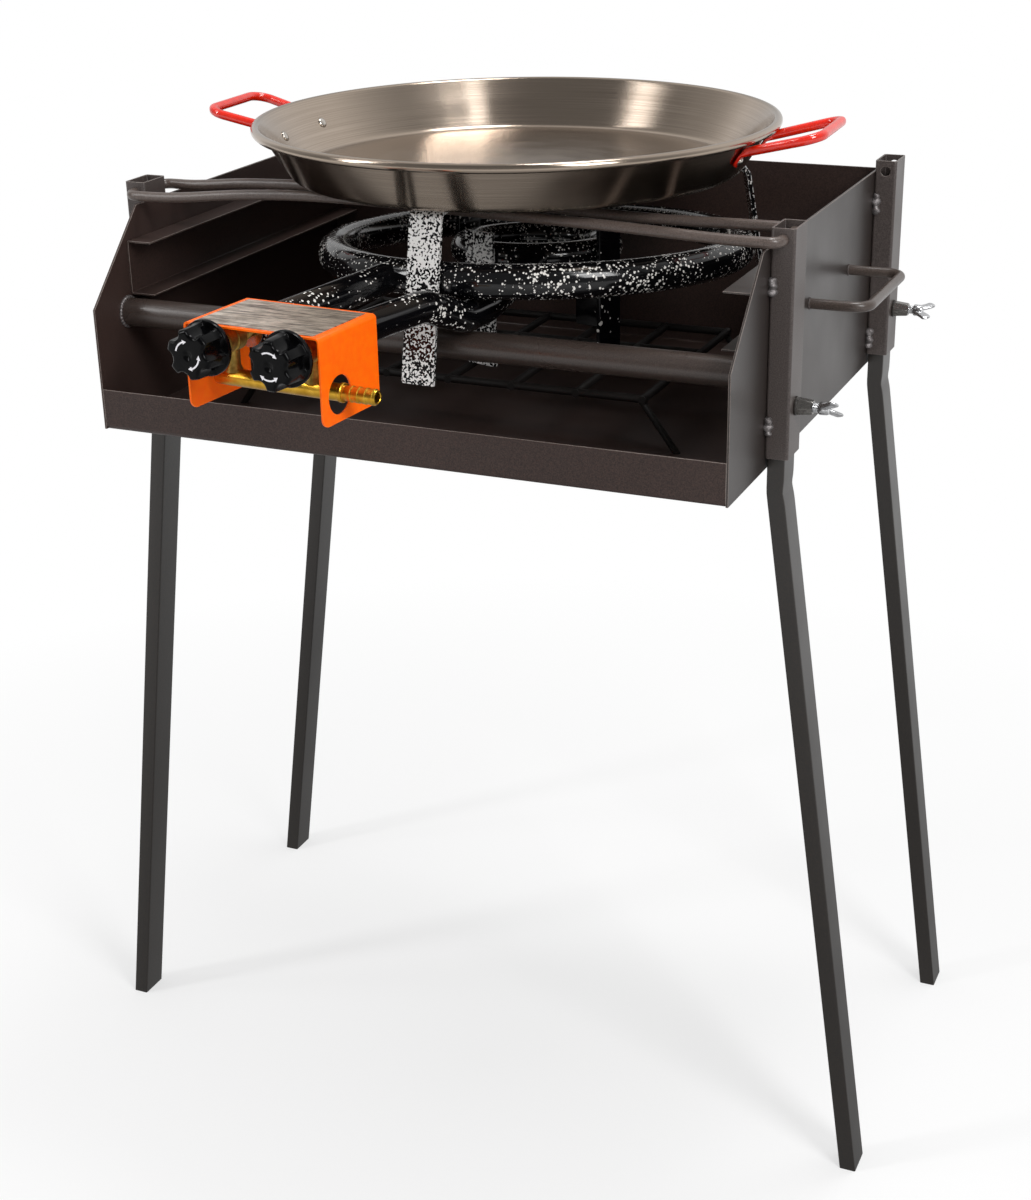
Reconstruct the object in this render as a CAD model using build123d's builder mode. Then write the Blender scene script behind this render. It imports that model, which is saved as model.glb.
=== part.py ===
from build123d import *

import os
from math import cos, radians, sin, sqrt, tan

# Sheet-steel charcoal barbecue on four plug-in legs, with a two-ring gas burner and a steel pan in it.
# +X is to the right, +Y to the back, +Z up. The origin is on the ground, under the middle of the outer box.
# All sizes are in millimetres.

os.makedirs("parts", exist_ok=True)

# Firebox: a folded tray between two side panels
GROUND_TO_BOX = 680.0
BOX_WIDTH = 580.0
BOX_DEPTH = 444.0
SHEET = 2.0
FOLD_RADIUS = 3.0
LIP_HEIGHT = 36.5
PANEL_FRONT_HEIGHT = 108.0
PANEL_HEIGHT = 185.0
PANEL_SLOPE_DEPTH = 77.0

# How far the knobs stand in front of the lip, and the rear sleeves end behind it
FRONT_REACH = 213.1
BACK_REACH = 460.0

# Cross tube, grill rails and carry handles, with heights above the underside of the box
CROSS_TUBE_RADIUS = 12.5
CROSS_TUBE_WALL = 1.5
CROSS_TUBE_SETBACK = 50.0
CROSS_TUBE_HEIGHT = 95.0
RAIL_SHEET = 1.5
RAIL_LOW = 109.0
RAIL_HIGH = 157.0
RAIL_FLANGE = 24.5
RAIL_SETBACK = 57.0
HANDLE_ROD_RADIUS = 4.5
HANDLE_REACH = 50.0
HANDLE_FRONT_SETBACK = 216.0
HANDLE_BACK_SETBACK = 344.0
HANDLE_HEIGHT = 111.0
HANDLE_BEND = 14.0

# Leg sleeves, legs and their clamps
SLEEVE_THICK = 20.0
SLEEVE_DEPTH = 35.0
SLEEVE_WALL = 1.5
SLEEVE_CORNER = 2.5
SLEEVE_LOW = 11.0
SLEEVE_TOPS = {"front": 201.0, "rear": 195.0}
SLEEVE_FRONT_SETBACK = 94.5
LEG_THICK = 15.0
LEG_DEPTH = 30.0
LEG_WALL = 1.5
LEG_TOP = 120.0
LEG_BEND_DROP = 19.0
LEG_SPLAY = 92.0
LEG_BEND = 40.0
LEG_SIDE_GAP = 0.2
CLAMP_HEIGHT = 53.0
NUT_FLATS = 13.0
NUT_LENGTH = 15.0
SCREW_RADIUS = 4.0
SCREW_PLAY = 0.06
SCREW_TIP_GAP = 0.3
SCREW_HUB_RADIUS = 5.5
SCREW_HUB_START = 23.0
SCREW_HUB_LENGTH = 9.0
WING_THICK = 3.0
WING_TIP_OUT = 38.0
WING_TIP_RADIAL = 10.5
WING_ROOT_RADIUS = 4.0
WING_TIP_RADIUS = 4.5

# Weld beads along the sleeves, with the heights of the front and the rear ones
BEAD_RADIUS = 4.5
BEAD_LENGTH = 20.0
FRONT_BEAD_HEIGHTS = (39.0, 154.0)
REAR_BEAD_HEIGHTS = (27.0, 155.0)

# Pan bars that plug into the front sleeves: each bow is a row of places to the right and heights over the bar's ends
BAR_RADIUS = 4.5
BAR_PLAY = 0.08
BAR_DROP = 9.5
BAR_STANDOFF = 12.0
BAR_BEND = 10.0
BAR_TAIL = 13.5
BAR_BOWS = {
    "front": ((-193.0, 6.6), (-109.0, 10.8), (-40.0, 10.2), (24.0, 8.0), (159.0, 4.3), (220.0, 1.7)),
    "rear": ((-229.0, 3.6), (-159.0, 6.6), (-60.0, 7.6), (60.0, 3.4), (168.0, -0.6)),
}

# Charcoal grate
WIRE_RADIUS = 3.5
GRATE_HEIGHT = 46.0
GRATE_HALF_WIDTH = 180.0
GRATE_PITCH = 60.0
GRATE_SETBACK = 107.0
GRATE_DEPTH = 225.0
GRATE_ROWS = 4
GRATE_LEG_SPLAY = 30.0
GRATE_GAP = 0.1

# Burner rings: the centre from the lip and the box's middle, and how much their plane rises per millimetre
BURNER_X = 35.5
BURNER_SETBACK = 222.5
BURNER_HEIGHT = 140.0
BURNER_RISE_RIGHT = 0.025
BURNER_RISE_BACK = -0.061
OUTER_RING = 180.5
OUTER_TUBE = 14.5
INNER_RING = 64.0
INNER_TUBE = 13.0
RING_WALL = 1.2
SEAT_GAP = 0.05

# Flat bars on the burner
FLAT_WIDTH = 30.0
FLAT_THICK = 4.0
FLAT_GAP = 0.3
SUPPORT_ANGLES = {"front": -94.9, "right": 25.1, "left": 145.1}
SUPPORT_LEAN = 9.5
SUPPORT_FOOT = 69.0
SUPPORT_TOP = 209.5
SUPPORT_INNER_REACH = 105.0
SUPPORT_BEND = 8.0
STAND_ANGLES = {"front": -105.0, "right": -15.0, "back": 75.0, "left": 165.0}
STAND_TOP = 168.0

# Gas unit: its own frame starts at a point on the middle line between the two pipes, turned a little
GAS_X = -4.6
GAS_SETBACK = 30.0
GAS_HEIGHT = 144.5
GAS_TURN = 4.75
PIPE_RADIUS = 13.0
PIPE_WALL = 1.5
PIPE_HALF_PITCH = 36.0
PIPE_MOUTH = -156.0
LEFT_PIPE_SIDE = -16.8
DIP_START = -45.0
DIP_END = 8.0
DIP_SIDE = 55.0
DIP_DEPTH = -21.5
RISE_START = 45.0
DIP_BEND = 40.0
RISE_BEND = 25.0
COVER_FRONT = -210.0
COVER_DEPTH = 78.0
COVER_WIDTH = 120.7
COVER_TOP = 16.0
COVER_HEIGHT = 68.5
COVER_SHEET = 1.5
COVER_FOLD = 2.5
COVER_CORNER = 8.0
COVER_HOLE_RADIUS = 15.0
COVER_HOLE_Y = -186.0
COVER_HOLE_Z = -32.0
SADDLE_WIDTH = 96.0
SADDLE_DEPTH = 18.0
SADDLE_Y = -144.0
SADDLE_GAP = 0.8
PLATE_MARGIN = 7.0
PLATE_THICK = 0.4
MANIFOLD_Y = -184.0
MANIFOLD_Z = -31.0
MANIFOLD_RADIUS = 6.8
MANIFOLD_BORE = 5.3
MANIFOLD_LEFT = -52.0
MANIFOLD_RIGHT = 60.0
MANIFOLD_CAP = 5.0
BARB_COLLAR_RADIUS = 7.5
BARB_COLLAR = 5.0
BARB_RADIUS = 5.6
BARB_RIDGE_RADIUS = 6.3
BARB_RIDGES = 3
BARB_PITCH = 9.0
BARB_BORE = 3.6
BONNET_RADIUS = 7.5
BONNET_FRONT = -207.0
VALVE_RADIUS = 10.5
VALVE_FRONT = -199.0
VALVE_BACK = -177.0
OUTLET_RADIUS = 6.0
OUTLET_BACK = -166.0
TAIL_RADIUS = 5.4
STEM_RADIUS = 3.0
STEM_PLAY = 0.05
STEM_BACK = -194.0
STEM_FRONT = -226.0
STEM_BORE_END = -193.0
JET_RADIUS = 4.5
JET_TIP_RADIUS = 2.5
JET_SHOULDER = -158.0
JET_TIP = -150.0
DISC_RADIUS = 13.0
DISC_THICK = 1.5
DISC_Y = -163.0
KNOB_BACK = -213.5
KNOB_SKIRT = 4.5
KNOB_FRONT = -239.5
KNOB_RADIUS = 21.5
KNOB_LOBE_RADIUS = 20.0
KNOB_LOBES = 6
KNOB_SCALLOP_RADIUS = 8.0
KNOB_SCALLOP_CENTRE = 23.5
KNOB_EDGE = 1.5
KNOB_BORE_END = -227.0

# Pan, with heights above its own base
PAN_X = 18.0
PAN_SETBACK = 222.0
PAN_GAP = 0.1
PAN_SHEET = 1.5
PAN_BASE_RADIUS = 198.0
PAN_BASE_BEND = 8.0
PAN_RIM_RADIUS = 225.3
PAN_RIM_HEIGHT = 43.25
PAN_ROLL_RADIUS = 3.25
PAN_ROLL_ARC = 290.0
PAN_TURN = 2.5
FOOT_ANGLE = 10.2
FOOT_CLIMB = 33.0
FOOT_WIDTH = 13.0
FOOT_LENGTH = 22.0
FOOT_CORNER = 5.0
FOOT_THICK = 3.0
FOOT_GAP = 0.06
ROD_RADIUS = 4.0
ROD_LIFT = 0.3
ROD_START = 2.0
ROD_BEND_AT = 6.0
LOOP_REACH = 281.0
LOOP_HALF_WIDTH = 49.0
LOOP_HEIGHT = 46.0
LOOP_BEND = 15.0
ROOT_BEND = 8.0
RIVET_DOWN = -5.5
RIVET_RADIUS = 2.4
RIVET_PLAY = 0.05
RIVET_HEAD_RADIUS = 4.5
RIVET_HEAD = 1.8
RIVET_SEAT = 0.08

# Places worked out from the sizes above
LIP_Y = (FRONT_REACH - BACK_REACH) / 2
BACK_Y = LIP_Y + BOX_DEPTH
BOX_Z = GROUND_TO_BOX
HALF_WIDTH = BOX_WIDTH / 2
INNER_HALF = HALF_WIDTH - SHEET
SLEEVE_X = HALF_WIDTH + SLEEVE_THICK / 2
SLEEVE_OUTER = HALF_WIDTH + SLEEVE_THICK
SLEEVE_CENTRES = {
    "front": LIP_Y + SLEEVE_FRONT_SETBACK + SLEEVE_DEPTH / 2,
    "rear": LIP_Y + BACK_REACH - SLEEVE_DEPTH / 2,
}
BAR_Z = BOX_Z + SLEEVE_TOPS["front"] - BAR_DROP
SIDES = {"left": -1, "right": 1}
LEG_X = HALF_WIDTH + SLEEVE_WALL + LEG_SIDE_GAP + LEG_THICK / 2
SCREW_TIP_X = LEG_X + LEG_THICK / 2 + SCREW_TIP_GAP
WING_TURNS = {"front_left": 70.0, "front_right": 142.0, "rear_left": 115.0, "rear_right": 15.0}
BURNER = Vector(BURNER_X, LIP_Y + BURNER_SETBACK, BOX_Z + BURNER_HEIGHT)
GAS = Vector(GAS_X, LIP_Y + GAS_SETBACK, BOX_Z + GAS_HEIGHT)
GAS_RIGHT = Vector(cos(radians(GAS_TURN)), -sin(radians(GAS_TURN)), 0)
GAS_BACK = Vector(sin(radians(GAS_TURN)), cos(radians(GAS_TURN)), 0)
UP = Vector(0, 0, 1)
BURNER_UP = Vector(-BURNER_RISE_RIGHT, -BURNER_RISE_BACK, 1).normalized()
BURNER_RIGHT = Vector(1, 0, BURNER_RISE_RIGHT).normalized()
PAN = Vector(PAN_X, LIP_Y + PAN_SETBACK, BOX_Z + SUPPORT_TOP + PAN_GAP)
WALL_RUN = PAN_RIM_RADIUS - PAN_BASE_RADIUS
WALL_RISE = PAN_RIM_HEIGHT - PAN_SHEET / 2
WALL_LENGTH = sqrt(WALL_RUN**2 + WALL_RISE**2)
WALL_OUT = WALL_RUN / WALL_LENGTH
WALL_UP = WALL_RISE / WALL_LENGTH


def save(piece, name):
    """Labels a finished piece and writes it as its own file."""
    piece.part.label = name
    export_step(piece.part, f"parts/{name}.step")


def across(y):
    """Upright plane at depth y, with X to the right and Z up. A negative extrusion goes to the back."""
    return Plane(origin=(0, y, 0), x_dir=(1, 0, 0), z_dir=(0, -1, 0))


def radial_plane(centre, angle):
    """Upright plane through a vertical axis, with its first axis pointing out at the given angle."""
    turn = radians(angle)
    return Plane(origin=(centre.X, centre.Y, 0), x_dir=(cos(turn), sin(turn), 0), z_dir=(sin(turn), -cos(turn), 0))


def gas_point(x, y, z):
    """Point of the gas unit's own frame: x to its right, y towards the burner, z up from the pipe axis."""
    return GAS + GAS_RIGHT * x + GAS_BACK * y + UP * z


def gas_across(x, y, z):
    """Upright plane square to the pipes. A negative extrusion goes towards the burner."""
    return Plane(origin=gas_point(x, y, z), x_dir=GAS_RIGHT, z_dir=GAS_BACK * -1)


def gas_along(x, y, z):
    """Upright plane along the pipes. A positive extrusion goes to the right."""
    return Plane(origin=gas_point(x, y, z), x_dir=GAS_BACK, z_dir=GAS_RIGHT)


def gas_flat(x, y, z):
    """Level plane of the gas unit."""
    return Plane(origin=gas_point(x, y, z), x_dir=GAS_RIGHT, z_dir=UP)


# Firebox tray: floor, front lip and back wall folded from one sheet
with BuildPart() as firebox_tray:
    with BuildSketch(Plane.YZ):
        with BuildLine():
            FilletPolyline(
                (LIP_Y + SHEET / 2, BOX_Z + LIP_HEIGHT),
                (LIP_Y + SHEET / 2, BOX_Z + SHEET / 2),
                (BACK_Y - SHEET / 2, BOX_Z + SHEET / 2),
                (BACK_Y - SHEET / 2, BOX_Z + PANEL_HEIGHT),
                radius=FOLD_RADIUS,
            )
        trace(line_width=SHEET)
    extrude(amount=INNER_HALF, both=True)
save(firebox_tray, "firebox_tray")

# Side panels with the sloping front corner
for side, sign in SIDES.items():
    with BuildPart() as side_panel:
        with BuildSketch(Plane.YZ.offset(sign * INNER_HALF)):
            with BuildLine():
                Polyline(
                    (LIP_Y, BOX_Z),
                    (LIP_Y, BOX_Z + PANEL_FRONT_HEIGHT),
                    (LIP_Y + PANEL_SLOPE_DEPTH, BOX_Z + PANEL_HEIGHT),
                    (BACK_Y, BOX_Z + PANEL_HEIGHT),
                    (BACK_Y, BOX_Z),
                    close=True,
                )
            make_face()
        extrude(amount=sign * SHEET)
    save(side_panel, f"side_panel_{side}")

# Front cross tube between the panels
with BuildPart() as front_cross_tube:
    with BuildSketch(Plane.YZ):
        with Locations((LIP_Y + CROSS_TUBE_SETBACK, BOX_Z + CROSS_TUBE_HEIGHT)):
            Circle(CROSS_TUBE_RADIUS)
            Circle(CROSS_TUBE_RADIUS - CROSS_TUBE_WALL, mode=Mode.SUBTRACT)
    extrude(amount=INNER_HALF, both=True)
save(front_cross_tube, "front_cross_tube")

# Grill rails: channels on the panels, open towards the middle
for side, sign in SIDES.items():
    web_x = sign * (INNER_HALF - RAIL_SHEET / 2)
    flange_x = sign * (INNER_HALF - RAIL_FLANGE)
    low_z = BOX_Z + RAIL_LOW + RAIL_SHEET / 2
    high_z = BOX_Z + RAIL_HIGH - RAIL_SHEET / 2
    with BuildPart() as grill_rail:
        with BuildSketch(across(LIP_Y + RAIL_SETBACK)):
            with BuildLine():
                FilletPolyline(
                    (flange_x, low_z),
                    (web_x, low_z),
                    (web_x, high_z),
                    (flange_x, high_z),
                    radius=RAIL_SHEET,
                )
            trace(line_width=RAIL_SHEET)
        extrude(amount=-(BOX_DEPTH - SHEET - RAIL_SETBACK))
    save(grill_rail, f"grill_rail_{side}")

# Carry handles, bent from round bar
for side, sign in SIDES.items():
    with BuildPart() as carry_handle:
        with BuildLine(Plane.XY.offset(BOX_Z + HANDLE_HEIGHT)) as handle_path:
            FilletPolyline(
                (sign * HALF_WIDTH, LIP_Y + HANDLE_FRONT_SETBACK),
                (sign * (HALF_WIDTH + HANDLE_REACH), LIP_Y + HANDLE_FRONT_SETBACK),
                (sign * (HALF_WIDTH + HANDLE_REACH), LIP_Y + HANDLE_BACK_SETBACK),
                (sign * HALF_WIDTH, LIP_Y + HANDLE_BACK_SETBACK),
                radius=HANDLE_BEND,
            )
        with BuildSketch(Plane(origin=handle_path.line @ 0, z_dir=handle_path.line % 0)):
            Circle(HANDLE_ROD_RADIUS)
        sweep(path=handle_path.line)
    save(carry_handle, f"carry_handle_{side}")

# Leg sleeves: rectangular tubes, drilled right through for the pan bars and on the outside for the clamp
for end, centre_y in SLEEVE_CENTRES.items():
    for side, sign in SIDES.items():
        with BuildPart() as leg_sleeve:
            with BuildSketch(Plane.XY.offset(BOX_Z + SLEEVE_LOW)):
                with Locations((sign * SLEEVE_X, centre_y)):
                    RectangleRounded(SLEEVE_THICK, SLEEVE_DEPTH, SLEEVE_CORNER)
                    RectangleRounded(
                        SLEEVE_THICK - 2 * SLEEVE_WALL,
                        SLEEVE_DEPTH - 2 * SLEEVE_WALL,
                        SLEEVE_CORNER - SLEEVE_WALL,
                        mode=Mode.SUBTRACT,
                    )
            extrude(amount=SLEEVE_TOPS[end] - SLEEVE_LOW)
            with BuildSketch(across(centre_y)):
                with Locations((sign * SLEEVE_X, BOX_Z + SLEEVE_TOPS[end] - BAR_DROP)):
                    Circle(BAR_RADIUS + BAR_PLAY)
            extrude(amount=SLEEVE_DEPTH, both=True, mode=Mode.SUBTRACT)
            with BuildSketch(Plane.YZ.offset(sign * SLEEVE_X)):
                with Locations((centre_y, BOX_Z + CLAMP_HEIGHT)):
                    Circle(SCREW_RADIUS + SCREW_PLAY)
            extrude(amount=sign * SLEEVE_THICK, mode=Mode.SUBTRACT)
        save(leg_sleeve, f"leg_sleeve_{end}_{side}")

# Weld beads in the corner between each sleeve's front face and the panel
with BuildPart() as weld_beads:
    for end, heights in (("front", FRONT_BEAD_HEIGHTS), ("rear", REAR_BEAD_HEIGHTS)):
        corner_y = SLEEVE_CENTRES[end] - SLEEVE_DEPTH / 2
        for height in heights:
            for sign in SIDES.values():
                corner_x = sign * HALF_WIDTH
                with BuildSketch(Plane.XY.offset(BOX_Z + height - BEAD_LENGTH / 2)):
                    with BuildLine():
                        Line((corner_x, corner_y), (corner_x + sign * BEAD_RADIUS, corner_y))
                        RadiusArc(
                            (corner_x + sign * BEAD_RADIUS, corner_y),
                            (corner_x, corner_y - BEAD_RADIUS),
                            sign * BEAD_RADIUS,
                        )
                        Line((corner_x, corner_y - BEAD_RADIUS), (corner_x, corner_y))
                    make_face()
                extrude(amount=BEAD_LENGTH)
save(weld_beads, "weld_beads")

# Clamp nuts on the outside of the sleeves
with BuildPart() as clamp_nuts:
    for centre_y in SLEEVE_CENTRES.values():
        for sign in SIDES.values():
            with BuildSketch(Plane.YZ.offset(sign * SLEEVE_OUTER)):
                with Locations((centre_y, BOX_Z + CLAMP_HEIGHT)):
                    RegularPolygon(NUT_FLATS / 2, 6, major_radius=False)
                    Circle(SCREW_RADIUS + SCREW_PLAY, mode=Mode.SUBTRACT)
            extrude(amount=sign * NUT_LENGTH)
save(clamp_nuts, "clamp_nuts")

# Wing screws: shank, hub and two ears
for end, centre_y in SLEEVE_CENTRES.items():
    for side, sign in SIDES.items():
        tip = Vector(sign * SCREW_TIP_X, centre_y, BOX_Z + CLAMP_HEIGHT)
        turn = radians(WING_TURNS[f"{end}_{side}"])
        outward = Vector(sign, 0, 0)
        ear = Vector(0, cos(turn), sin(turn))
        with BuildPart() as wing_screw:
            with BuildSketch(Plane(origin=tip, z_dir=outward)):
                Circle(SCREW_RADIUS)
            extrude(amount=SCREW_HUB_START + SCREW_HUB_LENGTH)
            with BuildSketch(Plane(origin=tip + outward * SCREW_HUB_START, z_dir=outward)):
                Circle(SCREW_HUB_RADIUS)
            extrude(amount=SCREW_HUB_LENGTH)
            for way in (1, -1):
                with BuildSketch(Plane(origin=tip, x_dir=outward, z_dir=outward.cross(ear * way))) as wing:
                    with Locations((SCREW_HUB_START + SCREW_HUB_LENGTH / 2, 0)):
                        Circle(WING_ROOT_RADIUS)
                    with Locations((WING_TIP_OUT, WING_TIP_RADIAL)):
                        Circle(WING_TIP_RADIUS)
                    make_hull(wing.edges())
                extrude(amount=WING_THICK / 2, both=True)
        save(wing_screw, f"wing_screw_{end}_{side}")

# Legs: rectangular tube, bent outwards below the sleeve and cut level at the ground
for end, centre_y in SLEEVE_CENTRES.items():
    for side, sign in SIDES.items():
        bend_z = BOX_Z - LEG_BEND_DROP
        ground_drop = LEG_THICK
        splay = LEG_SPLAY * (1 + ground_drop / bend_z)
        with BuildPart() as leg:
            with BuildSketch(across(centre_y)):
                with BuildLine() as leg_line:
                    FilletPolyline(
                        (sign * LEG_X, BOX_Z + LEG_TOP),
                        (sign * LEG_X, bend_z),
                        (sign * (LEG_X + splay), -ground_drop),
                        radius=LEG_BEND,
                    )
                trace(line_width=LEG_THICK)
            extrude(amount=LEG_DEPTH / 2, both=True)
            with BuildSketch(across(centre_y)):
                trace(leg_line.line, line_width=LEG_THICK - 2 * LEG_WALL)
            extrude(amount=LEG_DEPTH / 2 - LEG_WALL, both=True, mode=Mode.SUBTRACT)
            split(bisect_by=Plane.XY, keep=Keep.TOP)
        save(leg, f"leg_{end}_{side}")

# Pan bars: their bent ends plug into the front and the back of the front sleeves, and they bow upwards in between
front_face_y = SLEEVE_CENTRES["front"] - SLEEVE_DEPTH / 2
back_face_y = SLEEVE_CENTRES["front"] + SLEEVE_DEPTH / 2
for name, face_y, into in (("front", front_face_y, 1), ("rear", back_face_y, -1)):
    span_y = face_y - into * BAR_STANDOFF
    tail_y = face_y + into * BAR_TAIL
    bow_end = SLEEVE_X - 2 * BAR_BEND
    with BuildPart() as pan_bar:
        with BuildLine() as bar_path:
            left_end = FilletPolyline(
                (-SLEEVE_X, tail_y, BAR_Z),
                (-SLEEVE_X, span_y, BAR_Z),
                (-bow_end, span_y, BAR_Z),
                radius=BAR_BEND,
            )
            right_end = FilletPolyline(
                (bow_end, span_y, BAR_Z),
                (SLEEVE_X, span_y, BAR_Z),
                (SLEEVE_X, tail_y, BAR_Z),
                radius=BAR_BEND,
            )
            Spline(
                left_end @ 1,
                *[(bow_x, span_y, BAR_Z + bow_rise) for bow_x, bow_rise in BAR_BOWS[name]],
                right_end @ 0,
                tangents=(left_end % 1, right_end % 0),
            )
        with BuildSketch(Plane(origin=bar_path.line @ 0, z_dir=bar_path.line % 0)):
            Circle(BAR_RADIUS)
        sweep(path=bar_path.line)
    save(pan_bar, f"pan_bar_{name}")

# Charcoal grate: crossed wires welded in one plane
grate_front = LIP_Y + GRATE_SETBACK
grate_z = BOX_Z + GRATE_HEIGHT
bar_count = round(2 * GRATE_HALF_WIDTH / GRATE_PITCH) + 1
with BuildPart() as charcoal_grate:
    with BuildSketch(across(grate_front - WIRE_RADIUS)):
        with Locations((0, grate_z)):
            with GridLocations(GRATE_PITCH, 0, bar_count, 1):
                Circle(WIRE_RADIUS)
    extrude(amount=-(GRATE_DEPTH + 2 * WIRE_RADIUS))
    with BuildSketch(Plane.YZ):
        with Locations((grate_front + GRATE_DEPTH / 2, grate_z)):
            with GridLocations(GRATE_DEPTH / (GRATE_ROWS - 1), 0, GRATE_ROWS, 1):
                Circle(WIRE_RADIUS)
    extrude(amount=GRATE_HALF_WIDTH + WIRE_RADIUS, both=True)
save(charcoal_grate, "charcoal_grate")

# Splayed legs under the corners of the grate
with BuildPart() as grate_legs:
    for sign in SIDES.values():
        for foot_y in (grate_front, grate_front + GRATE_DEPTH):
            with BuildSketch(Plane.XY.offset(BOX_Z + SHEET + GRATE_GAP)) as foot_section:
                with Locations((sign * (GRATE_HALF_WIDTH + GRATE_LEG_SPLAY), foot_y)):
                    Circle(WIRE_RADIUS)
            with BuildSketch(Plane.XY.offset(grate_z - WIRE_RADIUS - GRATE_GAP)) as head_section:
                with Locations((sign * GRATE_HALF_WIDTH, foot_y)):
                    Circle(WIRE_RADIUS)
            loft(sections=[foot_section.sketch, head_section.sketch])
save(grate_legs, "grate_legs")


def ring_rise(right, back):
    """How far the leaning burner's plane rises over its centre, at a distance to the right and to the back."""
    return BURNER_RISE_RIGHT * right + BURNER_RISE_BACK * back


def ring_front(ring, side):
    """Point on the front half of a ring's middle line, at a place to the gas unit's right."""
    from_gas = BURNER - GAS
    half_chord = sqrt(ring**2 - (side - from_gas.dot(GAS_RIGHT)) ** 2)
    level = GAS + GAS_RIGHT * side + GAS_BACK * (from_gas.dot(GAS_BACK) - half_chord)
    rise = ring_rise(level.X - BURNER.X, level.Y - BURNER.Y)
    return Vector(level.X, level.Y, BURNER.Z + rise)


# Burner rings: hollow tubes with an inlet where their pipe comes in, leaning back a little
burner_section = Plane(origin=BURNER, x_dir=BURNER_RIGHT, z_dir=BURNER_RIGHT.cross(BURNER_UP))
burner_axis = Axis(BURNER, BURNER_UP)
left_from = gas_point(-PIPE_HALF_PITCH, PIPE_MOUTH, 0)
left_to = ring_front(OUTER_RING, LEFT_PIPE_SIDE)
with BuildPart() as burner_outer_ring:
    with BuildSketch(burner_section):
        with Locations((OUTER_RING, 0)):
            Circle(OUTER_TUBE)
            Circle(OUTER_TUBE - RING_WALL, mode=Mode.SUBTRACT)
    revolve(axis=burner_axis)
    with BuildSketch(Plane(origin=left_to, z_dir=left_from - left_to)):
        Circle(PIPE_RADIUS - PIPE_WALL)
    extrude(amount=2 * OUTER_TUBE, mode=Mode.SUBTRACT)
save(burner_outer_ring, "burner_outer_ring")

# The right pipe dips under the outer ring and rises into the inner one
dip_share = (DIP_START - PIPE_MOUTH) / (DIP_END - PIPE_MOUTH)
dip_start_side = PIPE_HALF_PITCH + dip_share * (DIP_SIDE - PIPE_HALF_PITCH)
rise_from = gas_point(DIP_SIDE, RISE_START, DIP_DEPTH)
rise_to = ring_front(INNER_RING, DIP_SIDE)
with BuildPart() as burner_inner_ring:
    with BuildSketch(burner_section):
        with Locations((INNER_RING, 0)):
            Circle(INNER_TUBE)
            Circle(INNER_TUBE - RING_WALL, mode=Mode.SUBTRACT)
    revolve(axis=burner_axis)
    with BuildSketch(Plane(origin=rise_to, z_dir=rise_from - rise_to)):
        Circle(PIPE_RADIUS - PIPE_WALL)
    extrude(amount=2 * INNER_TUBE, mode=Mode.SUBTRACT)
save(burner_inner_ring, "burner_inner_ring")

# Feed pipes, cut to the shape of the ring that they join
with BuildPart() as feed_pipe_left:
    with BuildSketch(Plane(origin=left_from, z_dir=left_to - left_from)):
        Circle(PIPE_RADIUS)
        Circle(PIPE_RADIUS - PIPE_WALL, mode=Mode.SUBTRACT)
    extrude(amount=(left_to - left_from).length)
    with BuildSketch(burner_section):
        with Locations((OUTER_RING, 0)):
            Circle(OUTER_TUBE + SEAT_GAP)
    revolve(axis=burner_axis, mode=Mode.SUBTRACT)
save(feed_pipe_left, "feed_pipe_left")

with BuildPart() as feed_pipe_right:
    with BuildLine() as pipe_path:
        FilletPolyline(
            gas_point(PIPE_HALF_PITCH, PIPE_MOUTH, 0),
            gas_point(dip_start_side, DIP_START, 0),
            gas_point(DIP_SIDE, DIP_END, DIP_DEPTH),
            rise_from,
            rise_to,
            radius=(DIP_BEND, DIP_BEND, RISE_BEND),
        )
    with BuildSketch(Plane(origin=pipe_path.line @ 0, z_dir=pipe_path.line % 0)):
        Circle(PIPE_RADIUS)
        Circle(PIPE_RADIUS - PIPE_WALL, mode=Mode.SUBTRACT)
    sweep(path=pipe_path.line)
    with BuildSketch(burner_section):
        with Locations((INNER_RING, 0)):
            Circle(INNER_TUBE + SEAT_GAP)
    revolve(axis=burner_axis, mode=Mode.SUBTRACT)
save(feed_pipe_right, "feed_pipe_right")

# Pan supports: flat bars that lean inwards up the outside of the outer ring, bent over towards the middle
support_offset = OUTER_TUBE + FLAT_GAP + FLAT_THICK / 2
support_foot_z = BOX_Z + SUPPORT_FOOT
support_z = BOX_Z + SUPPORT_TOP - FLAT_THICK / 2
lean = radians(SUPPORT_LEAN)
for name, angle in SUPPORT_ANGLES.items():
    ring_z = BURNER.Z + OUTER_RING * ring_rise(cos(radians(angle)), sin(radians(angle)))
    weld_radius = OUTER_RING + support_offset * cos(lean)
    weld_z = ring_z + support_offset * sin(lean)
    with BuildPart() as pan_support:
        with BuildSketch(radial_plane(BURNER, angle)):
            with BuildLine():
                FilletPolyline(
                    (weld_radius + (weld_z - support_foot_z) * tan(lean), support_foot_z),
                    (weld_radius + (weld_z - support_z) * tan(lean), support_z),
                    (SUPPORT_INNER_REACH, support_z),
                    radius=SUPPORT_BEND,
                )
            trace(line_width=FLAT_THICK)
        extrude(amount=FLAT_WIDTH / 2, both=True)
    save(pan_support, f"pan_support_{name}")

# Burner stands: flat bars on the inner ring that stand on the grate
stand_radius = INNER_RING + INNER_TUBE + FLAT_GAP + FLAT_THICK / 2
stand_low = grate_z + WIRE_RADIUS + FLAT_GAP
stand_high = BOX_Z + STAND_TOP
for name, angle in STAND_ANGLES.items():
    with BuildPart() as burner_stand:
        with BuildSketch(radial_plane(BURNER, angle)):
            with Locations((stand_radius, (stand_low + stand_high) / 2)):
                Rectangle(FLAT_THICK, stand_high - stand_low)
        extrude(amount=FLAT_WIDTH / 2, both=True)
    save(burner_stand, f"burner_stand_{name}")

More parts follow.
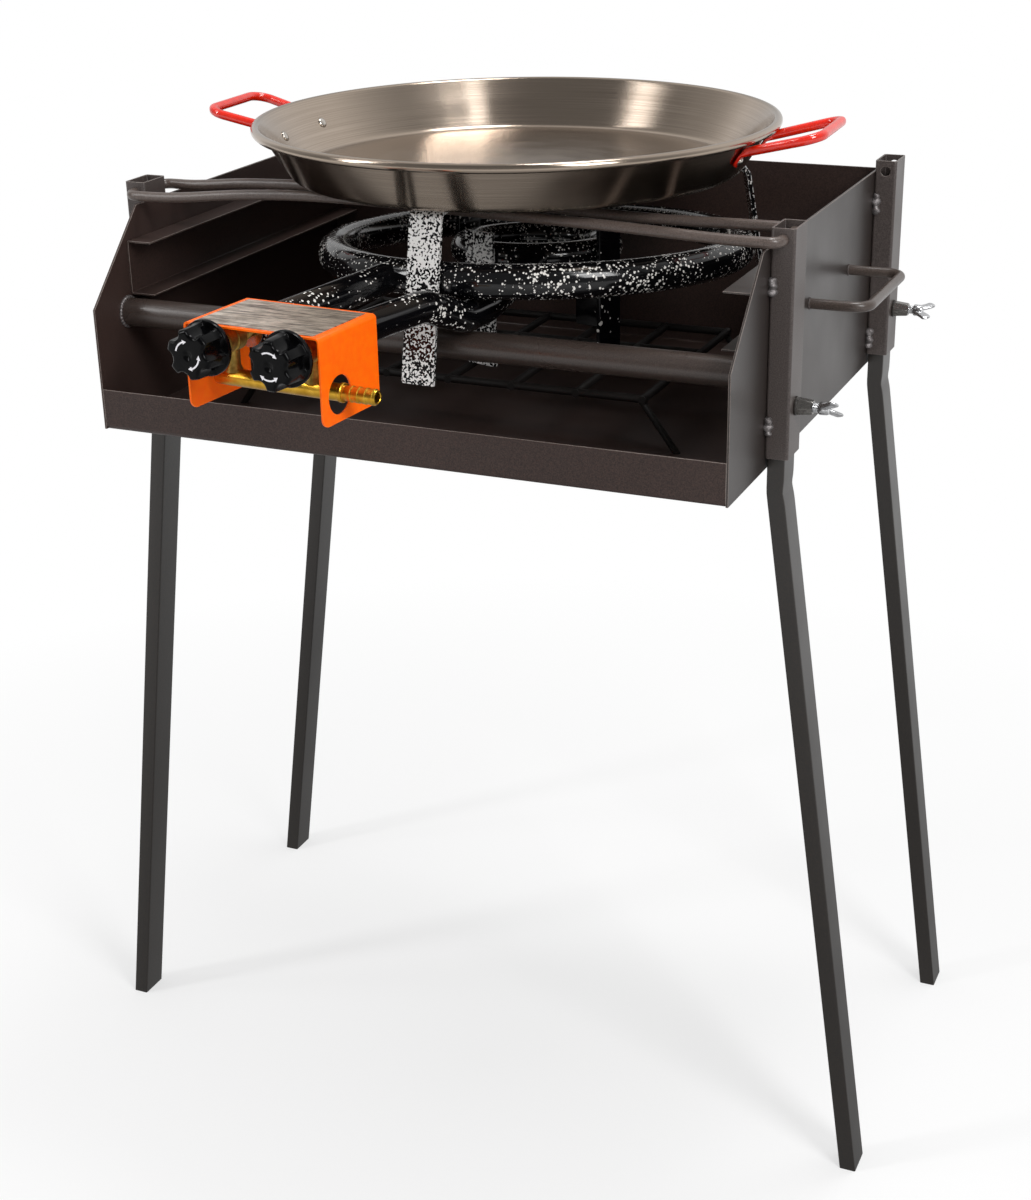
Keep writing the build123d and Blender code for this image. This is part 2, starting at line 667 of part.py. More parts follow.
# Gas cover: a folded hood with rounded lower corners and a hole for the hose
cover_half = (COVER_WIDTH - COVER_SHEET) / 2
cover_low = COVER_TOP - COVER_HEIGHT
with BuildPart() as gas_cover:
    with BuildSketch(gas_across(0, COVER_FRONT, 0)):
        with BuildLine():
            FilletPolyline(
                (-cover_half, cover_low),
                (-cover_half, COVER_TOP - COVER_SHEET / 2),
                (cover_half, COVER_TOP - COVER_SHEET / 2),
                (cover_half, cover_low),
                radius=COVER_FOLD,
            )
        trace(line_width=COVER_SHEET)
    extrude(amount=-COVER_DEPTH)
    with BuildSketch(gas_along(0, COVER_FRONT, 0)) as cover_side:
        with BuildLine():
            Polyline((0, cover_low), (0, COVER_TOP), (COVER_DEPTH, COVER_TOP), (COVER_DEPTH, cover_low), close=True)
        make_face()
        fillet(cover_side.vertices().group_by(Axis.Y)[0], COVER_CORNER)
    extrude(amount=COVER_WIDTH, both=True, mode=Mode.INTERSECT)
    with BuildSketch(gas_along(0, COVER_HOLE_Y, COVER_HOLE_Z)):
        Circle(COVER_HOLE_RADIUS)
    extrude(amount=COVER_WIDTH, mode=Mode.SUBTRACT)
save(gas_cover, "gas_cover")

# Saddle that carries the cover on the two pipes, and the blank plate on the cover's top
with BuildPart() as cover_saddle:
    with BuildSketch(gas_flat(0, SADDLE_Y, PIPE_RADIUS + SADDLE_GAP)):
        Rectangle(SADDLE_WIDTH, SADDLE_DEPTH)
    extrude(amount=COVER_TOP - COVER_SHEET - PIPE_RADIUS - SADDLE_GAP)
save(cover_saddle, "cover_saddle")

with BuildPart() as cover_plate:
    with BuildSketch(gas_flat(0, COVER_FRONT + COVER_DEPTH / 2, COVER_TOP)):
        Rectangle(COVER_WIDTH - 2 * PLATE_MARGIN, COVER_DEPTH - PLATE_MARGIN)
    extrude(amount=PLATE_THICK)
save(cover_plate, "cover_plate")

# Manifold pipe, closed at the left and open to the hose barb at the right
with BuildPart() as gas_manifold:
    with BuildSketch(gas_along(MANIFOLD_LEFT, MANIFOLD_Y, MANIFOLD_Z)):
        Circle(MANIFOLD_RADIUS)
    extrude(amount=MANIFOLD_RIGHT - MANIFOLD_LEFT)
    with BuildSketch(gas_along(MANIFOLD_LEFT + MANIFOLD_CAP, MANIFOLD_Y, MANIFOLD_Z)):
        Circle(MANIFOLD_BORE)
    extrude(amount=MANIFOLD_RIGHT - MANIFOLD_LEFT, mode=Mode.SUBTRACT)
save(gas_manifold, "gas_manifold")

# Hose barb: collar, ridged spout and bore, turned about the manifold's axis
with BuildPart() as hose_barb:
    with BuildSketch(gas_across(MANIFOLD_RIGHT, MANIFOLD_Y, MANIFOLD_Z)):
        with BuildLine():
            outline = [(0, BARB_BORE), (0, BARB_COLLAR_RADIUS), (BARB_COLLAR, BARB_COLLAR_RADIUS)]
            for ridge in range(BARB_RIDGES):
                ridge_x = BARB_COLLAR + (ridge + 0.5) * BARB_PITCH
                outline.append((ridge_x - BARB_PITCH / 2, BARB_RADIUS))
                outline.append((ridge_x, BARB_RADIUS))
                outline.append((ridge_x, BARB_RIDGE_RADIUS))
            spout_end = BARB_COLLAR + BARB_RIDGES * BARB_PITCH
            outline += [(spout_end, BARB_RADIUS), (spout_end, BARB_BORE)]
            Polyline(outline, close=True)
        make_face()
    revolve(axis=Axis(gas_point(0, MANIFOLD_Y, MANIFOLD_Z), GAS_RIGHT))
save(hose_barb, "hose_barb")

# Valves, stems and knobs, one set on each pipe's axis
for side, sign in SIDES.items():
    pipe_x = sign * PIPE_HALF_PITCH
    with BuildPart() as valve_body:
        with BuildSketch(gas_across(pipe_x, BONNET_FRONT, 0)):
            Circle(BONNET_RADIUS)
        extrude(amount=BONNET_FRONT - VALVE_FRONT)
        with BuildSketch(gas_across(pipe_x, VALVE_FRONT, 0)):
            Circle(VALVE_RADIUS)
        extrude(amount=VALVE_FRONT - VALVE_BACK)
        with BuildSketch(gas_across(pipe_x, VALVE_BACK, 0)):
            Circle(OUTLET_RADIUS)
        extrude(amount=VALVE_BACK - OUTLET_BACK)
        with BuildSketch(gas_flat(pipe_x, MANIFOLD_Y, 0)):
            Circle(TAIL_RADIUS)
        extrude(amount=MANIFOLD_Z)
        with BuildSketch(gas_along(MANIFOLD_LEFT, MANIFOLD_Y, MANIFOLD_Z)):
            Circle(MANIFOLD_RADIUS + SEAT_GAP)
        extrude(amount=MANIFOLD_RIGHT - MANIFOLD_LEFT, mode=Mode.SUBTRACT)
        with BuildSketch(gas_across(pipe_x, BONNET_FRONT, 0)):
            Circle(STEM_RADIUS + STEM_PLAY)
        extrude(amount=BONNET_FRONT - STEM_BORE_END, mode=Mode.SUBTRACT)
    save(valve_body, f"valve_body_{side}")

    with BuildPart() as valve_stem:
        with BuildSketch(gas_across(pipe_x, STEM_FRONT, 0)):
            Circle(STEM_RADIUS)
        extrude(amount=STEM_FRONT - STEM_BACK)
    save(valve_stem, f"valve_stem_{side}")

    with BuildPart() as control_knob:
        with BuildSketch(gas_across(pipe_x, KNOB_BACK, 0)):
            Circle(KNOB_RADIUS)
        extrude(amount=KNOB_SKIRT)
        with BuildSketch(gas_across(pipe_x, KNOB_BACK - KNOB_SKIRT, 0)):
            Circle(KNOB_LOBE_RADIUS)
            with PolarLocations(KNOB_SCALLOP_CENTRE, KNOB_LOBES):
                Circle(KNOB_SCALLOP_RADIUS, mode=Mode.SUBTRACT)
        extrude(amount=KNOB_BACK - KNOB_SKIRT - KNOB_FRONT)
        front_face = control_knob.faces().sort_by(Axis(gas_point(0, 0, 0), GAS_BACK))[0]
        fillet(front_face.edges(), KNOB_EDGE)
        with BuildSketch(gas_across(pipe_x, KNOB_BACK, 0)):
            Circle(STEM_RADIUS + STEM_PLAY)
        extrude(amount=KNOB_BACK - KNOB_BORE_END, mode=Mode.SUBTRACT)
    save(control_knob, f"control_knob_{side}")

# Jets that blow into the pipe mouths, and the round air discs on them
with BuildPart() as gas_jets:
    for sign in SIDES.values():
        pipe_x = sign * PIPE_HALF_PITCH
        with BuildSketch(gas_across(pipe_x, OUTLET_BACK, 0)):
            Circle(JET_RADIUS)
        extrude(amount=OUTLET_BACK - JET_SHOULDER)
        with BuildSketch(gas_across(pipe_x, JET_SHOULDER, 0)):
            Circle(JET_TIP_RADIUS)
        extrude(amount=JET_SHOULDER - JET_TIP)
save(gas_jets, "gas_jets")

with BuildPart() as air_discs:
    for sign in SIDES.values():
        with BuildSketch(gas_across(sign * PIPE_HALF_PITCH, DISC_Y, 0)):
            Circle(DISC_RADIUS)
            Circle(JET_RADIUS + SEAT_GAP, mode=Mode.SUBTRACT)
        extrude(amount=-DISC_THICK)
save(air_discs, "air_discs")


def foot_plane(handle_angle, foot_angle):
    """Plane on the middle of the pan's wall at a handle's foot: first axis around the pan, second up the wall."""
    turn = radians(handle_angle + foot_angle)
    out = Vector(cos(turn), sin(turn), 0)
    place = PAN + out * (PAN_BASE_RADIUS + WALL_OUT * FOOT_CLIMB) + UP * (PAN_SHEET / 2 + WALL_UP * FOOT_CLIMB)
    return Plane(origin=place, x_dir=(-sin(turn), cos(turn), 0), z_dir=out * WALL_UP - UP * WALL_OUT)


# Pan body: base, sloping wall and rolled rim, turned about the pan's axis, with rivet holes
roll_centre = (PAN_RIM_RADIUS + PAN_ROLL_RADIUS * WALL_UP, PAN_RIM_HEIGHT - PAN_ROLL_RADIUS * WALL_OUT)
with BuildPart() as pan_body:
    with BuildSketch(Plane(origin=PAN, x_dir=(1, 0, 0), z_dir=(0, -1, 0))):
        with BuildLine():
            FilletPolyline(
                (0, PAN_SHEET / 2),
                (PAN_BASE_RADIUS, PAN_SHEET / 2),
                (PAN_RIM_RADIUS, PAN_RIM_HEIGHT),
                radius=PAN_BASE_BEND,
            )
            roll_start = (Vector(PAN_RIM_RADIUS, PAN_RIM_HEIGHT) - Vector(*roll_centre)).get_angle(Vector(1, 0))
            CenterArc(roll_centre, PAN_ROLL_RADIUS, roll_start, -PAN_ROLL_ARC)
        trace(line_width=PAN_SHEET)
    revolve(axis=Axis(PAN, UP))
    for handle_angle in (PAN_TURN, PAN_TURN + 180):
        for foot_angle in (-FOOT_ANGLE, FOOT_ANGLE):
            with BuildSketch(foot_plane(handle_angle, foot_angle)):
                with Locations((0, RIVET_DOWN)):
                    Circle(RIVET_RADIUS + RIVET_PLAY)
            extrude(amount=2 * PAN_SHEET, both=True, mode=Mode.SUBTRACT)
save(pan_body, "pan_body")

# Pan handles: a bent rod with a flat foot at each end
foot_seat = PAN_SHEET / 2 + FOOT_GAP
rod_seat = foot_seat + ROD_RADIUS + ROD_LIFT
for side, handle_angle in (("right", PAN_TURN), ("left", PAN_TURN + 180)):
    turn = radians(handle_angle)
    out = Vector(cos(turn), sin(turn), 0)
    around = Vector(-sin(turn), cos(turn), 0)
    loop_middle = PAN + out * LOOP_REACH + UP * LOOP_HEIGHT
    near_foot = foot_plane(handle_angle, -FOOT_ANGLE)
    far_foot = foot_plane(handle_angle, FOOT_ANGLE)
    with BuildPart() as pan_handle:
        with BuildLine() as rod_path:
            FilletPolyline(
                near_foot.from_local_coords((0, ROD_START, rod_seat)),
                near_foot.from_local_coords((0, ROD_BEND_AT, rod_seat)),
                loop_middle - around * LOOP_HALF_WIDTH,
                loop_middle + around * LOOP_HALF_WIDTH,
                far_foot.from_local_coords((0, ROD_BEND_AT, rod_seat)),
                far_foot.from_local_coords((0, ROD_START, rod_seat)),
                radius=(ROOT_BEND, LOOP_BEND, LOOP_BEND, ROOT_BEND),
            )
        with BuildSketch(Plane(origin=rod_path.line @ 0, z_dir=rod_path.line % 0)):
            Circle(ROD_RADIUS)
        sweep(path=rod_path.line)
        for foot in (near_foot, far_foot):
            with BuildSketch(foot.offset(foot_seat)):
                RectangleRounded(FOOT_WIDTH, FOOT_LENGTH, FOOT_CORNER)
                with Locations((0, RIVET_DOWN)):
                    Circle(RIVET_RADIUS + RIVET_PLAY, mode=Mode.SUBTRACT)
            extrude(amount=FOOT_THICK)
    save(pan_handle, f"pan_handle_{side}")

# Rivets through the wall and the feet, with a rounded head inside the pan
with BuildPart() as pan_rivets:
    for handle_angle in (PAN_TURN, PAN_TURN + 180):
        for foot_angle in (-FOOT_ANGLE, FOOT_ANGLE):
            foot = foot_plane(handle_angle, foot_angle)
            inner_seat = -PAN_SHEET / 2 - RIVET_SEAT
            with BuildSketch(foot.offset(inner_seat)):
                with Locations((0, RIVET_DOWN)):
                    Circle(RIVET_HEAD_RADIUS)
            extrude(amount=-RIVET_HEAD)
            with BuildSketch(foot.offset(inner_seat)):
                with Locations((0, RIVET_DOWN)):
                    Circle(RIVET_RADIUS)
            extrude(amount=foot_seat + FOOT_THICK - inner_seat)
save(pan_rivets, "pan_rivets")
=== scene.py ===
# %% [markdown]
# # A charcoal barbecue with a gas burner and a pan
# This lesson dresses a finished CAD model, which gives every piece its place and size in metres. Blender adds
# what CAD leaves out: weld beads, enamel specks, brushed steel, turned brass. Sheet and tube pieces keep
# their CAD mesh and get a finish. Rounded, lumpy or turned pieces are worked out again with numpy and replace
# a CAD node.

# %% Load the frame
import math

import bmesh
import bpy
import numpy as np
from mathutils import Matrix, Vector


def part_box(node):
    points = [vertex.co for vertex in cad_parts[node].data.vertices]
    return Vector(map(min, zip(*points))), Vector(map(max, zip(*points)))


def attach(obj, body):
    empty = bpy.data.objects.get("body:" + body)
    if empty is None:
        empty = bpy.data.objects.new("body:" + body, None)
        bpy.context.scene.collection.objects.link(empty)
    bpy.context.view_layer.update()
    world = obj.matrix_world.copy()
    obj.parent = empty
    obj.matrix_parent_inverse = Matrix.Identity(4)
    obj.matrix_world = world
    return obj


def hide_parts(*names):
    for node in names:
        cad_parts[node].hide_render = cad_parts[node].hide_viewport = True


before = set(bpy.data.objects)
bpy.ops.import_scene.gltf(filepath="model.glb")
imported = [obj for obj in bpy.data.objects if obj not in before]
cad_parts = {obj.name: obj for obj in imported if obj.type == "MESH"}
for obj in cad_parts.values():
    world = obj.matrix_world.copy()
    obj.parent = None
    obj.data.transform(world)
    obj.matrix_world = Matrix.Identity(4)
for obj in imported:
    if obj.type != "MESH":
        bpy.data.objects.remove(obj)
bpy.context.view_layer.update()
scene = bpy.context.scene
MM = 0.001
RIGHT, UP = np.array([1.0, 0.0, 0.0]), np.array([0.0, 0.0, 1.0])
SIDES = {"left": -1, "right": 1}
ENDS = ("front", "rear")

# %% [markdown]
# ## Helpers for shapes
# Each new piece is a grid of points that runs along the piece and around it. Joining the last row to the
# first leaves no open seam. Rows that shrink to a point close the ends, and merging doubles turns those quads
# into triangles.

# %% Grids to meshes
MERGE_REACH, LEAST_EDGE = 1e-7, 1e-8


def unit(vectors):
    """Vectors divided by their own lengths."""
    return vectors / np.linalg.norm(vectors, axis=-1, keepdims=True)


def full_turn(steps):
    """Angles of equal steps around a circle."""
    return np.linspace(0, 2 * np.pi, steps, endpoint=False)


def swept(right, other, angle):
    """Directions right * cos(angle) + other * sin(angle), a row for each angle."""
    return right * np.cos(angle)[:, None] + other * np.sin(angle)[:, None]


def grid_mesh(points, wrap_u, wrap_v):
    """Mesh of one grid of points, or of many equal grids. Its UV map holds the grid's two parameters."""
    count_u, count_v = points.shape[-3:-1]
    copies = points.reshape(-1, count_u * count_v, 3)
    cells_u = count_u if wrap_u else count_u - 1
    cells_v = count_v if wrap_v else count_v - 1
    row, column = np.meshgrid(np.arange(cells_u), np.arange(cells_v), indexing="ij")
    rows = np.stack([row, row + 1, row + 1, row], -1).reshape(-1, 4)
    columns = np.stack([column, column, column + 1, column + 1], -1).reshape(-1, 4)
    faces = (rows % count_u) * count_v + columns % count_v
    offsets = np.arange(len(copies))[:, None, None] * (count_u * count_v)
    mesh = bpy.data.meshes.new("grid")
    mesh.from_pydata(copies.reshape(-1, 3).tolist(), [], (faces + offsets).reshape(-1, 4).tolist())
    uv = np.stack([rows / cells_u, columns / cells_v], -1).reshape(-1)
    mesh.uv_layers.new(name="UVMap").data.foreach_set("uv", np.tile(uv, len(copies)).astype(np.float32))
    return mesh


def put(name, data):
    """New object at the origin, linked to the scene."""
    made = bpy.data.objects.new(name, data)
    scene.collection.objects.link(made)
    return made


def make_piece(name, grids, body, finish, stands_for=(), sharp=40, ring=False):
    """One object from grids that close around, and along too for a ring. Edges over sharp degrees show."""
    joined = bmesh.new()
    for points in grids:
        mesh = grid_mesh(points, ring, True)
        joined.from_mesh(mesh)
        bpy.data.meshes.remove(mesh)
    bmesh.ops.remove_doubles(joined, verts=joined.verts, dist=MERGE_REACH)
    bmesh.ops.dissolve_degenerate(joined, edges=joined.edges, dist=LEAST_EDGE)
    bmesh.ops.recalc_face_normals(joined, faces=joined.faces)
    mesh = bpy.data.meshes.new(name)
    joined.to_mesh(mesh)
    joined.free()
    mesh.shade_smooth()
    mesh.set_sharp_from_angle(angle=math.radians(sharp))
    mesh.materials.append(finish)
    piece = put(name, mesh)
    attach(piece, body)
    if stands_for:
        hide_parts(*stands_for)
    print(name, "faces", len(mesh.polygons))


print("mesh helpers ready")

# %% Paths, sections and turned surfaces


def run_length(path):
    """Length along a path up to each of its points."""
    return np.append(0, np.cumsum(np.linalg.norm(np.diff(path, axis=0), axis=1)))


def bent_path(corners, bend, step):
    """Path through corners, each inner corner rounded by an arc: centre + start * cos(t) + into * bend *
    sin(t). Its points are then spread evenly, about one step apart."""
    corners = np.asarray(corners, float)
    bends = np.broadcast_to(bend, len(corners) - 2)
    runs = [corners[:1]]
    for before, corner, after, radius in zip(corners, corners[1:], corners[2:], bends):
        into, out = unit(corner - before), unit(after - corner)
        turn = math.acos(np.clip(into @ out, -1, 1))
        start = corner - into * radius * math.tan(turn / 2)
        centre = corner + unit(out - into) * radius / math.cos(turn / 2)
        t = np.linspace(0, turn, 2 + int(radius * turn / step * 4))[:, None]
        runs.append(centre + (start - centre) * np.cos(t) + into * radius * np.sin(t))
    runs.append(corners[-1:])
    path = np.concatenate(runs)
    length = run_length(path)
    even = np.linspace(0, length[-1], 2 + int(length[-1] / step))
    return np.stack([np.interp(even, length, path[:, k]) for k in range(3)], -1)


def carried(path, side, half_side, half_other, power, around):
    """Section |x / a| ** power + |y / b| ** power = 1 carried along a path. One of its axes is side made
    square to the path, the other is square to both. Power 2 is round, 8 is a rounded box."""
    along = unit(np.gradient(path, axis=0))
    side = unit(side - along * np.sum(side * along, -1, keepdims=True))
    other = np.cross(along, side)
    angle = full_turn(around)
    a = np.sign(np.cos(angle)) * np.abs(np.cos(angle)) ** (2 / power)
    b = np.sign(np.sin(angle)) * np.abs(np.sin(angle)) ** (2 / power)
    half_side, half_other = np.reshape(half_side, (-1, 1, 1)), np.reshape(half_other, (-1, 1, 1))
    return path[:, None] + side[:, None] * half_side * a[:, None] + other[:, None] * half_other * b[:, None]


def capped(points):
    """The same grid with its first and last rows closed to their middles."""
    ends = points[[0, -1]].mean(1, keepdims=True).repeat(points.shape[1], 1)
    return np.concatenate([ends[:1], points, ends[1:]])


def turned(radius, height, centre, axis, right, steps):
    """Turned surface: point = centre + axis * height + radius * (right * cos(t) + other * sin(t)). radius has
    one value per profile row, or one per row and step for shapes that aren't round."""
    axis, right = unit(axis), unit(right)
    ring = swept(right, np.cross(axis, right), full_turn(steps))
    return centre + axis * height[:, None, None] + ring * radius.reshape(len(radius), -1, 1)


def lathe(rows, centre, axis, right, steps):
    """Turned surface from rows of height and radius in millimetres."""
    height, radius = np.array(rows).T * MM
    return turned(radius, height, centre, axis, right, steps)


def ridged(start, pitch, count, rows):
    """Rows of height and radius repeated count times from start, one pitch apart."""
    return [(k * pitch + start + height, radius) for k in range(count) for height, radius in rows]


def smooth_step(values, low, high):
    """0 below low, 1 above high, and the curve 3t^2 - 2t^3 between them."""
    t = np.clip((values - low) / (high - low), 0, 1)
    return t * t * (3 - 2 * t)


def heading(degrees):
    """Level direction at an angle from +X towards +Y."""
    return np.array([math.cos(math.radians(degrees)), math.sin(math.radians(degrees)), 0])


def middle(node):
    """Middle of a CAD node's box at rest."""
    return np.mean(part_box(node), 0)


print("shape helpers ready")

# %% [markdown]
# ## Helpers for finishes
# A finish is a small graph of shader nodes. Colours are written in sRGB hex, as the eye knows them, and
# turned into the linear numbers that the renderer works with. One function adds a node, sets it and links it.

# %% Nodes and colours


def linear(colour):
    """sRGB hex colour as linear RGBA: ((c + 0.055) / 1.055) ** 2.4, or c / 12.92 near black."""
    c = np.array([int(colour[k : k + 2], 16) / 255 for k in (1, 3, 5)])
    c = np.where(c <= 0.04045, c / 12.92, ((c + 0.055) / 1.055) ** 2.4)
    return (*c.tolist(), 1.0)


def add(tree, kind, inputs=None, **settings):
    """Adds a node with its settings. inputs maps a socket to a value, or to the output that feeds it."""
    made = tree.nodes.new("ShaderNode" + kind)
    for key, value in settings.items():
        setattr(made, key, value)
    for key, value in (inputs or {}).items():
        if isinstance(value, bpy.types.NodeSocket):
            tree.links.new(value, made.inputs[key])
        else:
            made.inputs[key].default_value = value
    return made


def start_finish(name):
    """Empty material, its tree, and the coordinates that stay with the object."""
    material = bpy.data.materials.new(name)
    material.use_nodes = True
    material.node_tree.nodes.clear()
    place = add(material.node_tree, "TexCoord").outputs["Object"]
    return material, material.node_tree, place


def end_finish(material, colour, roughness, **sockets):
    """Closes a material with a Principled shader. Further sockets have underscores for their blanks."""
    named = {key.replace("_", " "): value for key, value in sockets.items()}
    named |= {"Base Color": colour, "Roughness": roughness}
    shader = add(material.node_tree, "BsdfPrincipled", named)
    add(material.node_tree, "OutputMaterial", {"Surface": shader.outputs["BSDF"]})
    return material


def grain(tree, place, size_mm, detail=2.0):
    """Noise whose lumps are about size_mm across, from 0 to 1."""
    sockets = {"Vector": place, "Scale": 1 / (size_mm * MM), "Detail": detail}
    return add(tree, "TexNoise", sockets).outputs[0]


def stretched(tree, place, scale, detail, turn=0.0, rough=0.5):
    """Noise on coordinates turned about z, with a scale of their own along each axis."""
    sockets = {"Vector": place, "Rotation": (0.0, 0.0, turn), "Scale": scale}
    at = add(tree, "Mapping", sockets).outputs[0]
    sockets = {"Vector": at, "Scale": 1.0, "Detail": detail, "Roughness": rough}
    return add(tree, "TexNoise", sockets).outputs[0]


def spread(tree, value, low, high, start=0.0, end=1.0, clamp=True):
    """Value mapped from low..high to start..end, and held at those ends unless clamp is off."""
    sockets = {"Value": value, "From Min": low, "From Max": high, "To Min": start, "To Max": end}
    return add(tree, "MapRange", sockets, clamp=clamp).outputs[0]


def combine(tree, operation, first, second):
    """Two numbers joined by a named operation, such as ADD or MAXIMUM."""
    return add(tree, "Math", {0: first, 1: second}, operation=operation).outputs[0]


def blend(tree, factor, first, second):
    """Colour between two colours. Hex text is turned into linear colour."""
    first, second = (linear(c) if isinstance(c, str) else c for c in (first, second))
    return add(tree, "Mix", {0: factor, 6: first, 7: second}, data_type="RGBA").outputs[2]


def relief(tree, height, depth_mm, strength):
    """Normal that follows a height pattern of that depth."""
    sockets = {"Height": height, "Distance": depth_mm * MM, "Strength": strength}
    return add(tree, "Bump", sockets).outputs[0]


print("finish helpers ready")

# %% [markdown]
# ## Satin paint on the sheet steel
# The firebox is sheet steel in baked satin paint, a brown black. Up close it has a fine grain and orange
# peel, lumps of 2 to 3 mm from spraying. A broad, faint change of gloss breaks up the large faces. Cut edges
# catch the light, and a lighter paint on the small bevels stands in for that as a painted highlight.

# %% Satin paints


def satin_paint(name, dark, light, gloss, shine=0.35):
    """Baked satin paint: grain of 1 mm, orange peel of 2.5 mm. shine is the specular level."""
    material, tree, place = start_finish(name)
    fine = grain(tree, place, 1.0, 3.0)
    peel = grain(tree, place, 2.5)
    broad = grain(tree, place, 110.0, 3.0)
    colour = blend(tree, spread(tree, fine, 0.3, 0.7), dark, light)
    roughness = spread(tree, broad, 0.3, 0.7, gloss - 0.05, gloss + 0.06)
    normal = relief(tree, peel, 0.12, 0.35)
    return end_finish(material, colour, roughness, Normal=normal, Specular_IOR_Level=shine)


tray_paint = satin_paint("satin_paint_brown_black", "#2b211f", "#42332e", 0.4, 0.3)
panel_paint = satin_paint("satin_paint_grey_brown", "#231e1c", "#38312e", 0.38, 0.5)
sleeve_paint = satin_paint("satin_paint_sleeve", "#393230", "#554d4a", 0.4, 0.42)
tube_paint = satin_paint("satin_paint_tube", "#2e2623", "#443a35", 0.3, 0.5)
leg_paint = satin_paint("satin_paint_leg", "#130f0b", "#221a13", 0.34, 0.65)
bar_paint = satin_paint("satin_paint_bar", "#423935", "#645852", 0.32, 0.5)
handle_paint = satin_paint("satin_paint_handle", "#38302c", "#564b45", 0.32, 0.5)
# Lighter paint for the small bevels along cut edges: a painted highlight.
edge_highlight_paint = satin_paint("painted_edge_highlight", "#6a605b", "#857b75", 0.45)
print("satin paints: 8")

# %% [markdown]
# ## Speckled enamel on the burner
# The burner is dipped in black enamel with white specks of 1 to 3 mm flicked into the wet glaze. Each Voronoi
# cell has a random number, and only cells above a limit grow a round dot. The front bars are nearly half
# white, the rings and side supports have fewer specks, the pipes and the other bars only a sprinkle.

# %% Speckled enamels


def glazed(material, mark, white, gloss, height):
    """Closes an enamel: black glaze where the mark is 0, white and duller where it is 1."""
    tree = material.node_tree
    colour = blend(tree, mark, "#08080a", white)
    roughness = spread(tree, mark, 0, 1, gloss, 0.3)
    normal = relief(tree, height, 0.15, 0.3)
    return end_finish(material, colour, roughness, Normal=normal, Specular_IOR_Level=0.4)


def speckled_enamel(name, share, cell_mm, patch):
    """Black glaze with white dots in a share of its cells. In clouds of 45 mm, patch changes that."""
    material, tree, place = start_finish(name)
    cells = add(tree, "TexVoronoi", {"Vector": place, "Scale": 1 / (cell_mm * MM)})
    chance = add(tree, "SeparateColor", {"Color": cells.outputs["Color"]}).outputs[0]
    cloud = spread(tree, grain(tree, place, 45.0), 0.3, 0.7, -patch, patch)
    chance = combine(tree, "ADD", chance, cloud)
    size = spread(tree, chance, 1 - share, 1.0, 0.1, 0.5, clamp=False)
    inside = combine(tree, "SUBTRACT", size, cells.outputs["Distance"])
    dot = spread(tree, inside, -0.05, 0.06)
    height = combine(tree, "ADD", dot, grain(tree, place, 9.0))
    return glazed(material, dot, "#dcd9d4", 0.1, height)


def flecked_enamel(name, fleck_mm, share):
    """Black glaze nearly half covered by white flecks that run together like worms: noise cut at a level."""
    material, tree, place = start_finish(name)
    worms = grain(tree, place, fleck_mm, 1.0)
    cloud = spread(tree, grain(tree, place, 30.0), 0.3, 0.7, -0.05, 0.05)
    worms = combine(tree, "ADD", worms, cloud)
    fleck = spread(tree, worms, 0.5 - share - 0.015, 0.5 - share + 0.02)
    return glazed(material, fleck, "#d6d4d2", 0.12, fleck)


bar_enamel = flecked_enamel("flecked_enamel", 2.2, 0.01)
ring_enamel = speckled_enamel("speckled_enamel_ring", 0.5, 2.2, 0.25)
pipe_enamel = speckled_enamel("speckled_enamel_sparse", 0.2, 2.4, 0.3)
stand_enamel = speckled_enamel("speckled_enamel_few", 0.06, 3.0, 0.1)
print("enamels: 4")

# %% [markdown]
# ## Gloss paints, plastic and metals
# The gas cover is gloss orange lacquer, the pan's handles are red enamel, the knobs are gloss black plastic.
# The pan is steel brushed around its axis, so highlights stretch up and down. The shader's anisotropy does
# that, with its direction taken from the UV map. Brass, zinc and weld metal follow.

# %% Gloss finishes


def gloss_finish(name, dark, light, gloss, shine, size_mm):
    """Poured or moulded gloss with a faint wave of size_mm. shine is the specular level."""
    material, tree, place = start_finish(name)
    wave = grain(tree, place, size_mm)
    dust = grain(tree, place, 1.2, 4.0)
    colour = blend(tree, spread(tree, wave, 0.3, 0.7), dark, light)
    roughness = spread(tree, dust, 0.35, 0.75, gloss, gloss + 0.12)
    normal = relief(tree, wave, 0.1, 0.25)
    return end_finish(material, colour, roughness, Normal=normal, Specular_IOR_Level=shine)


orange_lacquer = gloss_finish("orange_lacquer", "#ff6200", "#ff6c00", 0.4, 0.2, 6.0)
# The cover's bevels take a lighter orange: a painted highlight.
orange_edge_highlight = gloss_finish("orange_lacquer_painted_highlight", "#ff7f22", "#ff9440", 0.4, 0.3, 3.0)
red_enamel = gloss_finish("red_enamel", "#d01a06", "#e2260c", 0.09, 0.9, 5.0)
knob_plastic = gloss_finish("black_knob_plastic", "#030304", "#070708", 0.1, 0.1, 4.0)
arrow_white = gloss_finish("white_printed_paint", "#dedbe0", "#f2f0f4", 0.45, 0.4, 2.0)
print("gloss finishes: 5")

# %% Metals
# Turn of the gas unit about z, in degrees
GAS_TURN = 4.75


def metal(name, dark, light, gloss, size_mm, depth_mm, strength=0.4):
    """Bare metal: mottled colour and gloss with lumps of size_mm, and relief of depth_mm."""
    material, tree, place = start_finish(name)
    lumps = grain(tree, place, size_mm, 4.0)
    colour = blend(tree, spread(tree, lumps, 0.3, 0.7), dark, light)
    roughness = spread(tree, lumps, 0.3, 0.7, gloss + 0.08, gloss - 0.04)
    normal = relief(tree, lumps, depth_mm, strength)
    return end_finish(material, colour, roughness, Normal=normal, Metallic=1.0)


